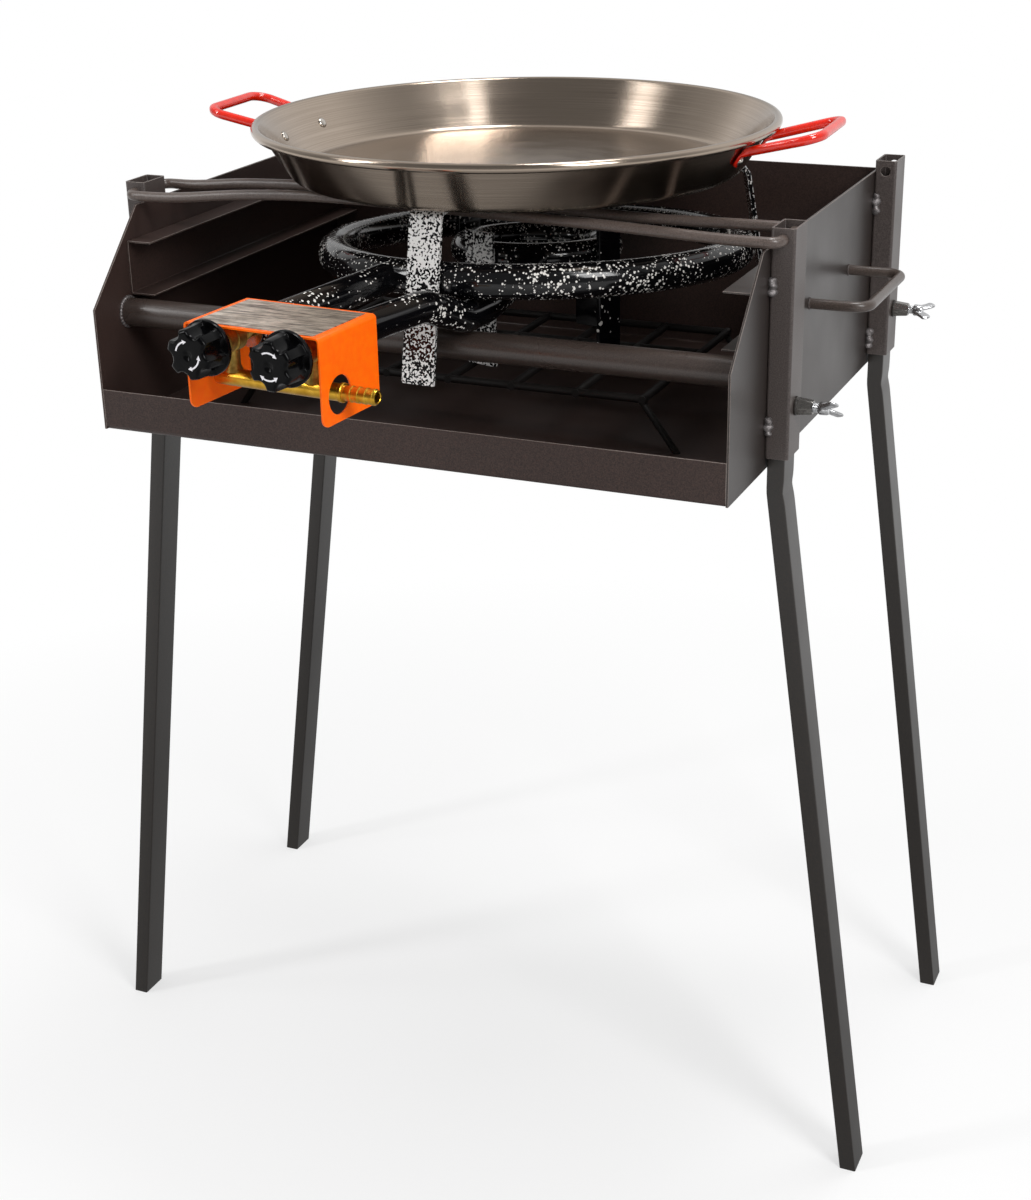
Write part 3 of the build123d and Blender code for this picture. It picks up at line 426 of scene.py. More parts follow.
def brushed_pan_steel():
    """Steel brushed around the pan: streaks 100 times longer around it, and stretched highlights."""
    material, tree, _ = start_finish("brushed_pan_steel")
    uv = add(tree, "UVMap", uv_map="UVMap").outputs[0]
    streaks = stretched(tree, uv, (700.0, 7.0, 1.0), 5.0)
    clouds = stretched(tree, uv, (30.0, 9.0, 1.0), 2.0)
    colour = blend(tree, spread(tree, streaks, 0.25, 0.75), "#988a7c", "#b2a496")
    roughness = spread(tree, clouds, 0.3, 0.7, 0.17, 0.22)
    normal = relief(tree, streaks, 0.03, 0.15)
    tangent = add(tree, "Tangent", direction_type="UV_MAP", uv_map="UVMap").outputs[0]
    brushed = {"Normal": normal, "Tangent": tangent, "Anisotropic": 0.85}
    return end_finish(material, colour, roughness, Metallic=1.0, **brushed)


def flame_hole_glint_and_shade():
    """Flame hole: a rim of bare steel where the first UV is 0, lightened as a painted highlight, and black
    inside as painted shade.
    """
    material, tree, place = start_finish("flame_hole_glint_and_shade")
    uv = add(tree, "UVMap", uv_map="UVMap").outputs[0]
    inwards = add(tree, "SeparateXYZ", {"Vector": uv}).outputs[0]
    # Rim: bare steel, lightened as a painted highlight for its glints.
    burr_and_glint = blend(tree, spread(tree, grain(tree, place, 1.0), 0.35, 0.65), "#8d8982", "#d8d4cd")
    # Inside the rim: black, painted shade for the depth of the hole.
    colour = blend(tree, spread(tree, inwards, 0.45, 0.55), burr_and_glint, "#030303")
    roughness = spread(tree, inwards, 0.4, 0.6, 0.35, 0.9)
    return end_finish(material, colour, roughness, Specular_IOR_Level=0.4)


def brushed_foil():
    """Aluminium foil plate with hairlines along its long side, turned with the gas unit."""
    material, tree, place = start_finish("brushed_foil")
    lines = stretched(tree, place, (35.0, 420.0, 60.0), 6.0, math.radians(GAS_TURN), 0.7)
    smears = grain(tree, place, 14.0, 3.0)
    bright = blend(tree, spread(tree, smears, 0.35, 0.65), "#fbeede", "#bfb1a2")
    colour = blend(tree, spread(tree, lines, 0.38, 0.54), "#6b6057", bright)
    roughness = spread(tree, smears, 0.3, 0.7, 0.3, 0.45)
    normal = relief(tree, lines, 0.05, 0.4)
    return end_finish(material, colour, roughness, Normal=normal, Metallic=1.0)


pan_steel = brushed_pan_steel()
plate_foil = brushed_foil()
hole_glint_and_shade_finish = flame_hole_glint_and_shade()
brass = metal("turned_brass", "#bd8e28", "#dbad40", 0.3, 7.0, 0.03)
cast_brass = metal("cast_brass", "#a08240", "#bfa055", 0.48, 3.0, 0.08)
zinc = metal("bright_zinc", "#bdbdbf", "#dedfe0", 0.2, 2.5, 0.04)
dull_zinc = metal("dull_zinc", "#6f6c69", "#96938f", 0.26, 2.5, 0.06)
rivet_steel = metal("polished_rivet", "#a8a29b", "#c4beb6", 0.22, 3.0, 0.03)
weld_metal = metal("weld_bead_metal", "#767170", "#a09b9b", 0.6, 2.0, 0.3, 0.7)
grate_iron = satin_paint("scaled_iron", "#0f0d0c", "#1f1a18", 0.55)
print("metals: 10")

# %% [markdown]
# ## Sheet and tube pieces keep their CAD mesh
# The tray, panels, rails, bars and flat bars have the right shape already and get a finish. The sheets get a
# bevel of a few tenths of a millimetre as well, in a lighter paint: the thin light line along each edge is a
# painted highlight, and it tells the eye that it is sheet steel. The CAD triangles are loose, so a weld
# modifier joins them first.

# %% Finishes on the CAD nodes
WELD_REACH = 0.01 * MM
BEVEL_FROM = math.radians(50)


def dress(names, finish, width_mm=0.0, edge=edge_highlight_paint):
    """Gives CAD nodes a finish, and where a width is given, a bevel along their edges in the edge finish, by
    default a lighter paint as a painted highlight.
    """
    for name in names:
        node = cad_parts[name]
        node.data.materials.clear()
        node.data.materials.append(finish)
        if not width_mm:
            continue
        node.data.materials.append(edge)
        node.modifiers.new("weld", "WELD").merge_threshold = WELD_REACH
        bevel = node.modifiers.new("edges", "BEVEL")
        bevel.width = width_mm * MM
        bevel.segments = 2
        bevel.limit_method = "ANGLE"
        bevel.angle_limit = BEVEL_FROM
        bevel.material = 1
        bevel.harden_normals = True
    print(len(names), "nodes in", finish.name)


pairs = [f"{end}_{side}" for end in ENDS for side in SIDES]
quarters = ("right", "back", "left")
# The left panel and rail are the same steel as the right ones, but take the lighter tray paint: painted light
# for the light that falls on the left inside. The right ones keep the darker grey brown paint.
dress(["firebox_tray", "side_panel_left"], tray_paint, 0.35)
dress(["grill_rail_left"], tray_paint, 0.3)
dress(["grill_rail_right"], panel_paint, 0.3)
dress(["side_panel_right"], panel_paint, 0.35)
dress([f"leg_sleeve_{pair}" for pair in pairs], sleeve_paint, 0.25)
dress(["front_cross_tube"], tube_paint)
dress(["pan_bar_front", "pan_bar_rear"], bar_paint)
dress(["carry_handle_left", "carry_handle_right"], handle_paint)
dress(["charcoal_grate", "grate_legs"], grate_iron)
dress(["pan_support_front", "burner_stand_front"], bar_enamel, 0.6, bar_enamel)
# The bevels of the left and right supports take the densely flecked enamel, so their edges come out lighter:
# a painted highlight.
dress(["pan_support_left", "pan_support_right"], ring_enamel, 0.6, bar_enamel)
dress([f"burner_stand_{name}" for name in quarters], stand_enamel, 0.6, stand_enamel)
dress(["feed_pipe_left", "feed_pipe_right"], pipe_enamel)
dress(["gas_cover"], orange_lacquer, 0.4, orange_edge_highlight)
dress(["cover_saddle"], orange_lacquer)
dress(["cover_plate"], plate_foil)
dress(["gas_jets"], brass)
dress(["air_discs", "valve_stem_left", "valve_stem_right"], zinc)

# %% [markdown]
# ## Legs
# A leg is a rectangular tube, bent outwards a little under its sleeve, with a pinch on the inside of the
# bend. Its outer and inner walls are two carried sections that meet at both ends, so the leg is hollow.
# Points below the ground slide back along the leg to make a level cut.

# %% Legs
LEG_HALF_THICK, LEG_HALF_DEPTH, LEG_WALL = 7.5 * MM, 15.0 * MM, 1.5 * MM
LEG_X, LEG_TOP, LEG_BEND_Z = 299.2 * MM, 800 * MM, 661 * MM
LEG_SPLAY, LEG_BEND, GROUND_DROP = 92 * MM, 40 * MM, 15 * MM
PINCH_DEPTH, PINCH_LENGTH, PINCH_FROM = 0.9 * MM, 7 * MM, 0.2
LEG_CORNERS, BORE_CORNERS = 18, 24
LEG_STEP, LEG_AROUND = 4 * MM, 40
leg_slope = LEG_SPLAY / LEG_BEND_Z


def leg_wall(sign, y, half_thick, half_depth, power):
    """Rounded box carried down the leg's line, pinched at the bend by a bell curve on its outer face."""
    foot_x = LEG_X + LEG_SPLAY + leg_slope * GROUND_DROP
    corners = [(LEG_X, y, LEG_TOP), (LEG_X, y, LEG_BEND_Z), (foot_x, y, -GROUND_DROP)]
    path = bent_path(corners, LEG_BEND, LEG_STEP)
    points = carried(path, RIGHT, half_thick, half_depth, power, LEG_AROUND)
    bell = np.exp(-(((path[:, 2] - LEG_BEND_Z) / PINCH_LENGTH) ** 2))
    offset = (points[:, :, 0] - path[:, None, 0]) / half_thick
    points[:, :, 0] -= PINCH_DEPTH * bell[:, None] * smooth_step(offset, PINCH_FROM, 1.0)
    below = np.minimum(points[:, :, 2], 0)
    points[:, :, 0] += leg_slope * below
    points[:, :, 2] -= below
    points[:, :, 0] *= sign
    return points


for end in ENDS:
    for side, sign in SIDES.items():
        leg = f"leg_{end}_{side}"
        y = middle(leg)[1]
        outer = leg_wall(sign, y, LEG_HALF_THICK, LEG_HALF_DEPTH, LEG_CORNERS)
        inner_half = LEG_HALF_THICK - LEG_WALL, LEG_HALF_DEPTH - LEG_WALL
        inner = leg_wall(sign, y, *inner_half, BORE_CORNERS)
        shell = np.concatenate([outer, inner[::-1]])
        make_piece(f"bent_{leg}", [shell], leg, leg_paint, [leg], ring=True)

# %% [markdown]
# ## Clamps: hexagon nuts and wing screws
# A long nut is welded on each sleeve, and a wing screw goes through it and presses on the leg. The nut is a
# turned surface whose radius follows a hexagon, with its corners turned off at the ends. The screw is a shank
# with a thread, a hub, and two ears: oval sections carried outwards that thin towards a round tip.

# %% Clamp nuts
NUT_FLATS, NUT_LENGTH, NUT_BORE, NUT_TAPER = 13.4, 15.0, 4.3, 0.2
FLANGE_ROWS = [(0.0, 6.0), (0.0, 7.9), (1.6, 7.9), (2.4, 7.2), (2.4, 6.0)]
SLEEVE_OUTER = 310 * MM
CLAMP_Z = 733 * MM
HEX_STEPS, ROUND_STEPS = 72, 48
leg_lines = {end: middle(f"leg_{end}_left")[1] for end in ENDS}


def hex_nut(start, axis, flats, length, bore, taper=0.0):
    """Hexagon flats / 2 / cos(t), cut down in each row to a circle that rounds the corners at both ends."""
    # Heights, and the circle's radius as a share of the distance over the flats
    rows = np.array([(0.0, 0.56), (0.6, 0.59), (length - 1.2, 0.59), (length, 0.52)])
    t = (full_turn(HEX_STEPS) + np.pi / 6) % (np.pi / 3) - np.pi / 6
    radius = np.minimum(flats / 2 / np.cos(t), rows[:, 1:] * flats)
    radius = radius * (1 - taper * rows[:, :1] / length)
    hole = np.full((1, HEX_STEPS), bore)
    radius = np.concatenate([hole, radius, hole, hole])
    height = np.concatenate([[0.0], rows[:, 0], [length, 0.0]])
    return turned(radius * MM, height * MM, start, axis, UP, HEX_STEPS)


nuts, flanges = [], []
for y in leg_lines.values():
    for sign in SIDES.values():
        start, axis = np.array([sign * SLEEVE_OUTER, y, CLAMP_Z]), RIGHT * sign
        nuts.append(hex_nut(start, axis, NUT_FLATS, NUT_LENGTH, NUT_BORE, NUT_TAPER))
        flanges.append(lathe(FLANGE_ROWS, start, axis, UP, ROUND_STEPS))
make_piece("hexagon_clamp_nuts", nuts, "firebox", dull_zinc, ["clamp_nuts"], 25)
make_piece("clamp_nut_flanges", flanges, "firebox", leg_paint, (), 30, ring=True)

# %% Wing screws
SCREW_TIP_X = 307 * MM
WING_TURNS = {"front_left": 70, "front_right": 142, "rear_left": 115, "rear_right": 15}
THREAD_PITCH, THREAD_DEPTH, THREAD_ROWS, THREAD_STEPS = 1.25, 0.45, 6, 36
SHANK_RADIUS, SHANK_LENGTH, LEAD_LENGTH, LEAD_SHARE = 4.0, 23.2, 1.5, 0.75
EAR_OUT, EAR_LENGTH, EAR_BOW, EAR_ROOT, EAR_RISE, EAR_TIP = 26.5, 12.5, 1.5, 3.0, 11.0, 0.72
EAR_CURVE, EAR_BROAD, EAR_BROADENS, EAR_THICK, EAR_THINS = 0.9, 3.6, 1.2, 2.0, 0.7
HUB_STEPS, EAR_STEPS, EAR_AROUND, EAR_POWER = 32, 26, 20, 2.6
HUB_ROWS = [(23.0, 3.4), (23.2, 5.0), (24.0, 5.5), (29.5, 5.3), (31.2, 4.6), (32.0, 3.0), (32.2, 0.0)]


def threaded_shank(tip, axis):
    """Thread: the radius is a triangle wave of height minus turn, so it climbs a pitch per turn."""
    height = np.arange(0, SHANK_LENGTH, THREAD_PITCH / THREAD_ROWS)
    turn = np.linspace(0, 1, THREAD_STEPS, endpoint=False)
    phase = (height[:, None] / THREAD_PITCH - turn[None]) % 1
    radius = SHANK_RADIUS - THREAD_DEPTH * np.abs(2 * phase - 1)
    lead = LEAD_SHARE + (1 - LEAD_SHARE) * height / LEAD_LENGTH
    radius *= np.minimum(lead, 1)[:, None]
    return capped(turned(radius * MM, height * MM, tip, axis, UP, THREAD_STEPS))


def wing_ear(tip, axis, ear):
    """Ear: a curved line from the hub outwards and up, with an oval section that ends in a round tip."""
    t = np.linspace(0, 1, EAR_STEPS)
    out = EAR_OUT + EAR_LENGTH * t + EAR_BOW * np.sin(np.pi * t)
    rise = EAR_ROOT + EAR_RISE * t**EAR_CURVE
    path = tip + np.outer(out, axis) * MM + np.outer(rise, ear) * MM
    taper = np.sqrt(np.clip(1 - (np.maximum(t - EAR_TIP, 0) / (1 - EAR_TIP)) ** 2, 0, 1))
    broad = (EAR_BROAD + EAR_BROADENS * t) * taper
    thick = (EAR_THICK - EAR_THINS * t) * taper
    return capped(carried(path, np.cross(axis, ear), thick * MM, broad * MM, EAR_POWER, EAR_AROUND))


for pair, angle in WING_TURNS.items():
    end, side = pair.split("_")
    axis = RIGHT * SIDES[side]
    tip = np.array([SIDES[side] * SCREW_TIP_X, leg_lines[end], CLAMP_Z])
    ear = np.roll(heading(angle), 1)
    hub = lathe(HUB_ROWS, tip, axis, UP, HUB_STEPS)
    grids = [threaded_shank(tip, axis), capped(hub), wing_ear(tip, axis, ear), wing_ear(tip, axis, -ear)]
    screw = f"wing_screw_{pair}"
    make_piece(f"zinc_{screw}", grids, screw, zinc, [screw])

# %% [markdown]
# ## Weld beads
# The sleeves, handles and cross tube are tacked on with short welds. A bead is a row of overlapping frozen
# drops, so its radius swells and shrinks. Two waves of different pitch keep the drops uneven.

# %% Weld beads
BEAD_RADIUS, BEAD_ROWS, BEAD_AROUND = 4.4, 41, 20
DROP_BASE, DROP_SWELL, DROP_WAVES, UNEVEN, UNEVEN_WAVES, RIPPLE = 0.76, 0.22, 4.4, 0.09, 7, 0.12
RING_SWELL, RING_UNEVEN, DROP_POINTS, RING_SECTION = 0.18, 0.1, 6, 12
# Length of the beads on a sleeve, and their heights over the box's floor
BEADS = {"front": (16.0, (39.0, 154.0)), "rear": (20.0, (27.0, 155.0))}
# Radius of the ring, radius of the bead around it, and number of drops
HANDLE_WELD, TUBE_WELD = (4.4, 0.8, 9), (12.9, 1.5, 26)
BOX_Z, HALF_WIDTH, ROD_RADIUS = 680.0, 290.0, 4.5 * MM
BEAD_OUT, BEAD_AHEAD, ROOT_OUT, TUBE_IN = 2.6, 1.0, 0.4, 2.6


def bead(centre, length, seed):
    """Standing bead: a capsule whose radius follows |cos| of its height, so drops with notches between."""
    t = np.linspace(-1, 1, BEAD_ROWS)
    around = full_turn(BEAD_AROUND)
    round_end = np.sqrt(np.clip(1 - t**6, 0, 1))
    drops = DROP_BASE + DROP_SWELL * np.abs(np.cos(DROP_WAVES * t + seed))
    drops += UNEVEN * np.sin(UNEVEN_WAVES * t + 2.3 * seed)
    ripple = 1 + RIPPLE * np.sin(2 * around[None] + 5 * t[:, None] + seed)
    radius = BEAD_RADIUS * (round_end * drops)[:, None] * ripple
    return turned(radius * MM, t * length / 2 * MM, centre, UP, RIGHT, BEAD_AROUND)


def ring_bead(centre, axis, seed, ring_radius, bead_radius, drops):
    """Bead around a rod: a torus whose tube swells once per drop."""
    t, section = full_turn(DROP_POINTS * drops), full_turn(RING_SECTION)
    swell = 1 + RING_SWELL * np.sin(drops * t + seed) + RING_UNEVEN * np.sin(3 * t + 2 * seed)
    swell *= bead_radius
    spoke = swept(UP, np.cross(axis, UP), t)
    reach = ring_radius + swell[:, None] * np.cos(section)
    lift = swell[:, None] * np.sin(section)
    return centre + (spoke[:, None] * reach[:, :, None] + axis * lift[:, :, None]) * MM


beads = []
for end, (length, heights) in BEADS.items():
    low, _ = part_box(f"leg_sleeve_{end}_left")
    for number, height in enumerate(heights):
        for sign in SIDES.values():
            x, y = sign * (HALF_WIDTH + BEAD_OUT) * MM, low[1] - BEAD_AHEAD * MM
            place = np.array([x, y, (BOX_Z + height) * MM])
            seed = 1.7 * number + sign + low[1] * 9
            beads.append(bead(place, length, seed))
make_piece("sleeve_weld_beads", beads, "firebox", weld_metal, ["weld_beads"], 80)

root_welds, tube_welds = [], []
for side, sign in SIDES.items():
    axis = RIGHT * sign
    low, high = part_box(f"carry_handle_{side}")
    z = (low[2] + high[2]) / 2
    for number, y in enumerate((low[1] + ROD_RADIUS, high[1] - ROD_RADIUS)):
        root = np.array([sign * (HALF_WIDTH + ROOT_OUT) * MM, y, z])
        root_welds.append(ring_bead(root, axis, number + sign, *HANDLE_WELD))
    tube_end = middle("front_cross_tube")
    tube_end[0] = sign * (HALF_WIDTH - TUBE_IN) * MM
    tube_welds.append(ring_bead(tube_end, axis, 2.0 * sign, *TUBE_WELD))
make_piece("handle_root_welds", root_welds, "firebox", sleeve_paint, (), 80, ring=True)
make_piece("tube_end_welds", tube_welds, "firebox", weld_metal, (), 80, ring=True)

# %% [markdown]
# ## Burner rings
# Each ring is an enamelled steel tube, a superellipse carried round a circle. It has a welded seam, and a row
# of small flame holes runs along its inner shoulder. The holes are little drilled craters with a raised lip,
# all stamped from one small turned shape.

# %% Rings and flame holes
OUTER_RING, OUTER_TUBE, INNER_RING, INNER_TUBE = 180.5, 14.5, 64.0, 13.0
SECTION_POWER, SECTION_STEPS, HOLE_STEPS = 2.2, 48, 10
SEAM_ANGLE, SEAM_HEIGHT, SEAM_WIDTH = math.radians(62), 0.5, math.radians(5)
HOLE_ANGLE = math.radians(128)
HOLE_ROWS = np.array([(1.55, -0.3), (1.3, 0.3), (1.0, 0.32), (0.9, 0.1), (0.0, 0.06)])
burner = middle("burner_outer_ring")
RING_RISE_RIGHT, RING_RISE_BACK = 0.025, -0.061
ring_right = unit(np.array([1, 0, RING_RISE_RIGHT]))
ring_up = unit(np.array([-RING_RISE_RIGHT, -RING_RISE_BACK, 1]))
ring_back = np.cross(ring_up, ring_right)


def ring_directions(steps):
    """Directions out from the burner's leaning axis, and around it."""
    t = full_turn(steps)
    return swept(ring_right, ring_back, t), swept(ring_back, -ring_right, t)


def section_radius(angle, tube):
    """Superellipse radius (|cos|^p + |sin|^p)^(-1/p) times the tube's, plus a bell-shaped seam."""
    p = SECTION_POWER
    shape = (np.abs(np.cos(angle)) ** p + np.abs(np.sin(angle)) ** p) ** (-1 / p)
    return tube * shape + SEAM_HEIGHT * np.exp(-(((angle - SEAM_ANGLE) / SEAM_WIDTH) ** 2))


def burner_ring(ring, tube, steps):
    """Section carried round the burner's axis."""
    angle = full_turn(SECTION_STEPS)
    radius = section_radius(angle, tube)
    spoke, _ = ring_directions(steps)
    reach = ring + radius * np.cos(angle)
    lift = radius * np.sin(angle)
    return burner + (spoke[:, None] * reach[None, :, None] + ring_up * lift[None, :, None]) * MM


def flame_holes(ring, tube, count):
    """Craters, one per hole: place + out * height + radius * (around * cos(t) + across * sin(t))."""
    spoke, around = ring_directions(count)
    out = spoke * math.cos(HOLE_ANGLE) + ring_up * math.sin(HOLE_ANGLE)
    across = np.cross(out, around)
    surface = section_radius(HOLE_ANGLE, tube)
    place = burner + (spoke * ring + out * surface) * MM
    circle = swept(around[:, None], across[:, None], full_turn(HOLE_STEPS))
    reach, lift = (HOLE_ROWS * MM).T[:, :, None, None]
    return place[:, None, None] + out[:, None, None] * lift + circle[:, None] * reach


# Radius of the ring, radius of its tube, steps around it, and number of holes
rings = {"outer": (OUTER_RING, OUTER_TUBE, 240, 190), "inner": (INNER_RING, INNER_TUBE, 120, 60)}
for name, (ring, tube, steps, count) in rings.items():
    grids, node = [burner_ring(ring, tube, steps)], f"burner_{name}_ring"
    make_piece(f"enamel_{name}_ring", grids, "burner", ring_enamel, [node], ring=True)
    # Each crater is a shallow dimple. Its finish paints the hole's dark depth as shade and the glint on its
    # rim as a highlight.
    craters = flame_holes(ring, tube, count)
    make_piece(f"flame_holes_{name}", [craters], "burner", hole_glint_and_shade_finish)

# %% [markdown]
# ## Gas unit: brass valves, manifold and hose barb
# Each brass piece is a profile turned about its own axis: a valve body with grooves and a hexagon bonnet, a
# tail that drops to the manifold, and a barb with sharp ridges that grip a hose. The gas unit sits a few
# degrees askew, so its own axes come first.

# %% Places in the gas unit
GAS_START = np.array([-4.6, -93.45, 824.5]) * MM
GAS_RIGHT = heading(-GAS_TURN)
GAS_BACK = np.cross(UP, GAS_RIGHT)
PIPE_HALF_PITCH = 36.0
MANIFOLD_Y, MANIFOLD_Z = -184.0, -31.0


def gas_point(x, y, z):
    """Point of the gas unit's own frame, in millimetres: x to its right, y towards the burner, z up."""
    return GAS_START + (GAS_RIGHT * x + GAS_BACK * y + UP * z) * MM


print("gas unit starts at", np.round(gas_point(0, 0, 0), 4))

# %% Valves
BODY_ROWS = [
    (-199.6, 0.0), (-199.6, 9.2), (-198.8, 10.4), (-191.5, 10.4), (-191.0, 9.5), (-188.5, 9.5),
    (-188.0, 10.4), (-178.4, 10.4), (-177.4, 9.6), (-177.0, 6.2),
    *ridged(-175.5, 2.0, 4, [(0.0, 5.4), (0.5, 6.0)]), (-166.6, 6.0), (-166.0, 5.4), (-166.0, 0.0),
]
TAIL_ROWS = [(-6.0, 5.4), (-12.0, 5.4), (-21.5, 5.4), (-22.5, 5.9), (-24.5, 6.8), (-26.0, 7.2)]
BONNET_Y, BONNET_FLATS, BONNET_LENGTH, BONNET_BORE, TAIL_STEPS = -199.3, 12.6, 7.5, 3.2, 40
for side, sign in SIDES.items():
    x = sign * PIPE_HALF_PITCH
    body = lathe(BODY_ROWS, gas_point(x, 0, 0), GAS_BACK, GAS_RIGHT, ROUND_STEPS)
    bonnet = hex_nut(gas_point(x, BONNET_Y, 0), -GAS_BACK, BONNET_FLATS, BONNET_LENGTH, BONNET_BORE)
    tail = lathe(TAIL_ROWS, gas_point(x, MANIFOLD_Y, 0), UP, GAS_RIGHT, TAIL_STEPS)
    grids = [body, bonnet, capped(tail)]
    make_piece(f"turned_valve_{side}", grids, "burner", cast_brass, [f"valve_body_{side}"], 30)

# %% Manifold and hose barb
MANIFOLD_ROWS = [
    (-52.0, 0.0), (-52.0, 5.0), (-51.2, 6.3), (-49.6, 6.8), (59.6, 6.8), (60.0, 6.4), (60.0, 5.3),
]
BARB_ROWS = [
    (60.0, 5.2), (60.0, 7.1), (60.6, 7.6), (62.8, 7.6), (63.4, 7.1), (63.5, 6.0), (64.4, 5.7),
    *ridged(65.0, 6.4, 4, [(0.0, 5.7), (4.6, 6.35), (5.6, 6.35), (6.0, 5.8)]),
    (91.0, 5.7), (92.0, 5.1), (92.0, 4.3), (91.5, 3.9), (72.0, 3.9), (72.0, 0.0),
]
start = gas_point(0, MANIFOLD_Y, MANIFOLD_Z)
manifold = lathe(MANIFOLD_ROWS, start, GAS_RIGHT, UP, ROUND_STEPS)
make_piece("brass_manifold", [manifold], "burner", brass, ["gas_manifold"], 30)
barb = lathe(BARB_ROWS, start, GAS_RIGHT, UP, ROUND_STEPS)
make_piece("brass_hose_barb", [barb], "burner", brass, ["hose_barb"], 30)

# %% [markdown]
# ## Control knobs
# A knob has a round skirt and a grip with six hollow flutes. Each row of the turned surface takes the smaller
# of its own radius and the distance to the flute's circle, and a soft minimum rounds the corners between
# them. An arrow is a thin strip along an arc, whose half width jumps out and then runs to a point at each
# head.

# %% Knobs
KNOB_BACK = -213.5
KNOB_STEPS, LOBES, FLUTE_CENTRE, FLUTE_RADIUS, SOFT = 180, 6, 23.5, 8.0, 0.5
KNOB_TURNS = {"left": math.radians(48), "right": 0.0}
# Height, radius, and how deeply the flutes cut there
KNOB_ROWS = [
    (0.0, 0.0, 0), (0.0, 20.6, 0), (0.5, 21.4, 0), (3.6, 21.5, 0), (4.3, 21.1, 0), (4.6, 20.4, 0.6),
    (5.2, 19.9, 1), (12.0, 19.6, 1), (22.6, 19.2, 1), (24.2, 18.9, 1), (25.2, 18.2, 1), (25.8, 17.2, 1),
    (26.0, 16.0, 1), (26.0, 13.0, 1), (26.0, 10.0, 0.4), (26.0, 5.0, 0), (25.8, 3.2, 0), (25.0, 2.4, 0),
    (24.8, 0.0, 0),
]
GRIP_RADIUS = 20.0
ARROW_REACH, ARROW_SHAFT, ARROW_BARB, ARROW_POINT, ARROW_STEPS = 10.3, 0.62, 1.75, 0.02, 24
ARROW_HEAD, ARROW_LOW, ARROW_TOP = math.radians(19), 25.9, 26.12
# Ends of each arrow's arc in degrees, and its number of heads
KNOB_ARROWS = (((118, 42), 1), ((222, 318), 2))


def fluted_knob(start, turn):
    """Flutes: r = soft minimum of the row's radius and d cos(a) - sqrt(f^2 - d^2 sin(a)^2)."""
    t = full_turn(KNOB_STEPS)
    a = (t - turn + np.pi / LOBES) % (2 * np.pi / LOBES) - np.pi / LOBES
    inside = np.clip(FLUTE_RADIUS**2 - (FLUTE_CENTRE * np.sin(a)) ** 2, 0, None)
    flute = np.where(inside > 0, FLUTE_CENTRE * np.cos(a) - np.sqrt(inside), FLUTE_CENTRE)
    height, radius, depth = np.array(KNOB_ROWS).T
    cut = flute[None] * (radius / GRIP_RADIUS)[:, None]
    gap = np.maximum(SOFT - np.abs(radius[:, None] - cut), 0) / SOFT
    fluted = np.minimum(radius[:, None], cut) - gap**2 * SOFT / 4 * (radius > 1)[:, None]
    mixed = radius[:, None] * (1 - depth[:, None]) + fluted * depth[:, None]
    return turned(mixed * MM, height * MM, start, -GAS_BACK, GAS_RIGHT, KNOB_STEPS)


def arrow(start, turn, first, last, heads):
    """Raised strip on the knob's face along an arc, with an arrow head at its last end, or at both ends."""
    head = math.copysign(ARROW_HEAD, last - first)
    front = [(last - head, ARROW_SHAFT), (last - head, ARROW_BARB), (last, ARROW_POINT)]
    back = [(first, ARROW_SHAFT)]
    if heads == 2:
        back = [(first, ARROW_POINT), (first + head, ARROW_BARB), (first + head, ARROW_SHAFT)]
    shaft = [(a, ARROW_SHAFT) for a in np.linspace(back[-1][0], front[0][0], ARROW_STEPS)[1:-1]]
    angle, width = np.array(back + shaft + front).T
    spoke = swept(GAS_RIGHT, UP, angle + turn)
    corners = ((-1, ARROW_LOW), (-1, ARROW_TOP), (1, ARROW_TOP), (1, ARROW_LOW))
    reach = [spoke * (ARROW_REACH + sign * width)[:, None] - GAS_BACK * lift for sign, lift in corners]
    return capped(start + np.stack(reach, 1) * MM)


for side, sign in SIDES.items():
    start = gas_point(sign * PIPE_HALF_PITCH, KNOB_BACK, 0)
    turn = KNOB_TURNS[side]
    body = f"knob_{side}"
    grids, node = [fluted_knob(start, -turn)], f"control_knob_{side}"
    make_piece(f"fluted_knob_{side}", grids, body, knob_plastic, [node], 50)
    arrows = [arrow(start, turn, *map(math.radians, ends), heads) for ends, heads in KNOB_ARROWS]
    make_piece(f"knob_arrows_{side}", arrows, body, arrow_white)

# %% [markdown]
# ## Pan
# The pan is pressed from one disc, so it is a single turned profile: flat base, a bend, a sloping wall and a
# rolled rim. The middle line of the sheet is drawn first, then moved half the thickness to each side along
# its normals, which gives a closed wall of even thickness.

# %% Pan body
PAN_SHEET, BASE_RADIUS, RIM_RADIUS, RIM_HEIGHT, BASE_BEND = 1.5, 198.0, 225.3, 43.25, 8.0
PAN_STEP, PAN_STEPS, ROLL_STEPS = 2.5, 240, 40
half_sheet = PAN_SHEET / 2
ROLL_RADIUS, ROLL_ARC = 3.25, math.radians(290)
pan = middle("pan_body")
pan[2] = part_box("pan_body")[0][2]
wall = unit(np.array([RIM_RADIUS - BASE_RADIUS, RIM_HEIGHT - half_sheet]))
roll_centre = np.array([RIM_RADIUS + ROLL_RADIUS * wall[1], RIM_HEIGHT - ROLL_RADIUS * wall[0]])
roll_start = math.atan2(RIM_HEIGHT - roll_centre[1], RIM_RADIUS - roll_centre[0])
roll = roll_start - np.linspace(0, ROLL_ARC, ROLL_STEPS)
base_line = [(0, 0, half_sheet), (BASE_RADIUS, 0, half_sheet), (RIM_RADIUS, 0, RIM_HEIGHT)]
sheet_line = bent_path(base_line, BASE_BEND, PAN_STEP)[:, (0, 2)]
roll_line = roll_centre + ROLL_RADIUS * np.stack([np.cos(roll), np.sin(roll)], -1)
line = np.concatenate([sheet_line, roll_line[1:]])
along = unit(np.gradient(line, axis=0))
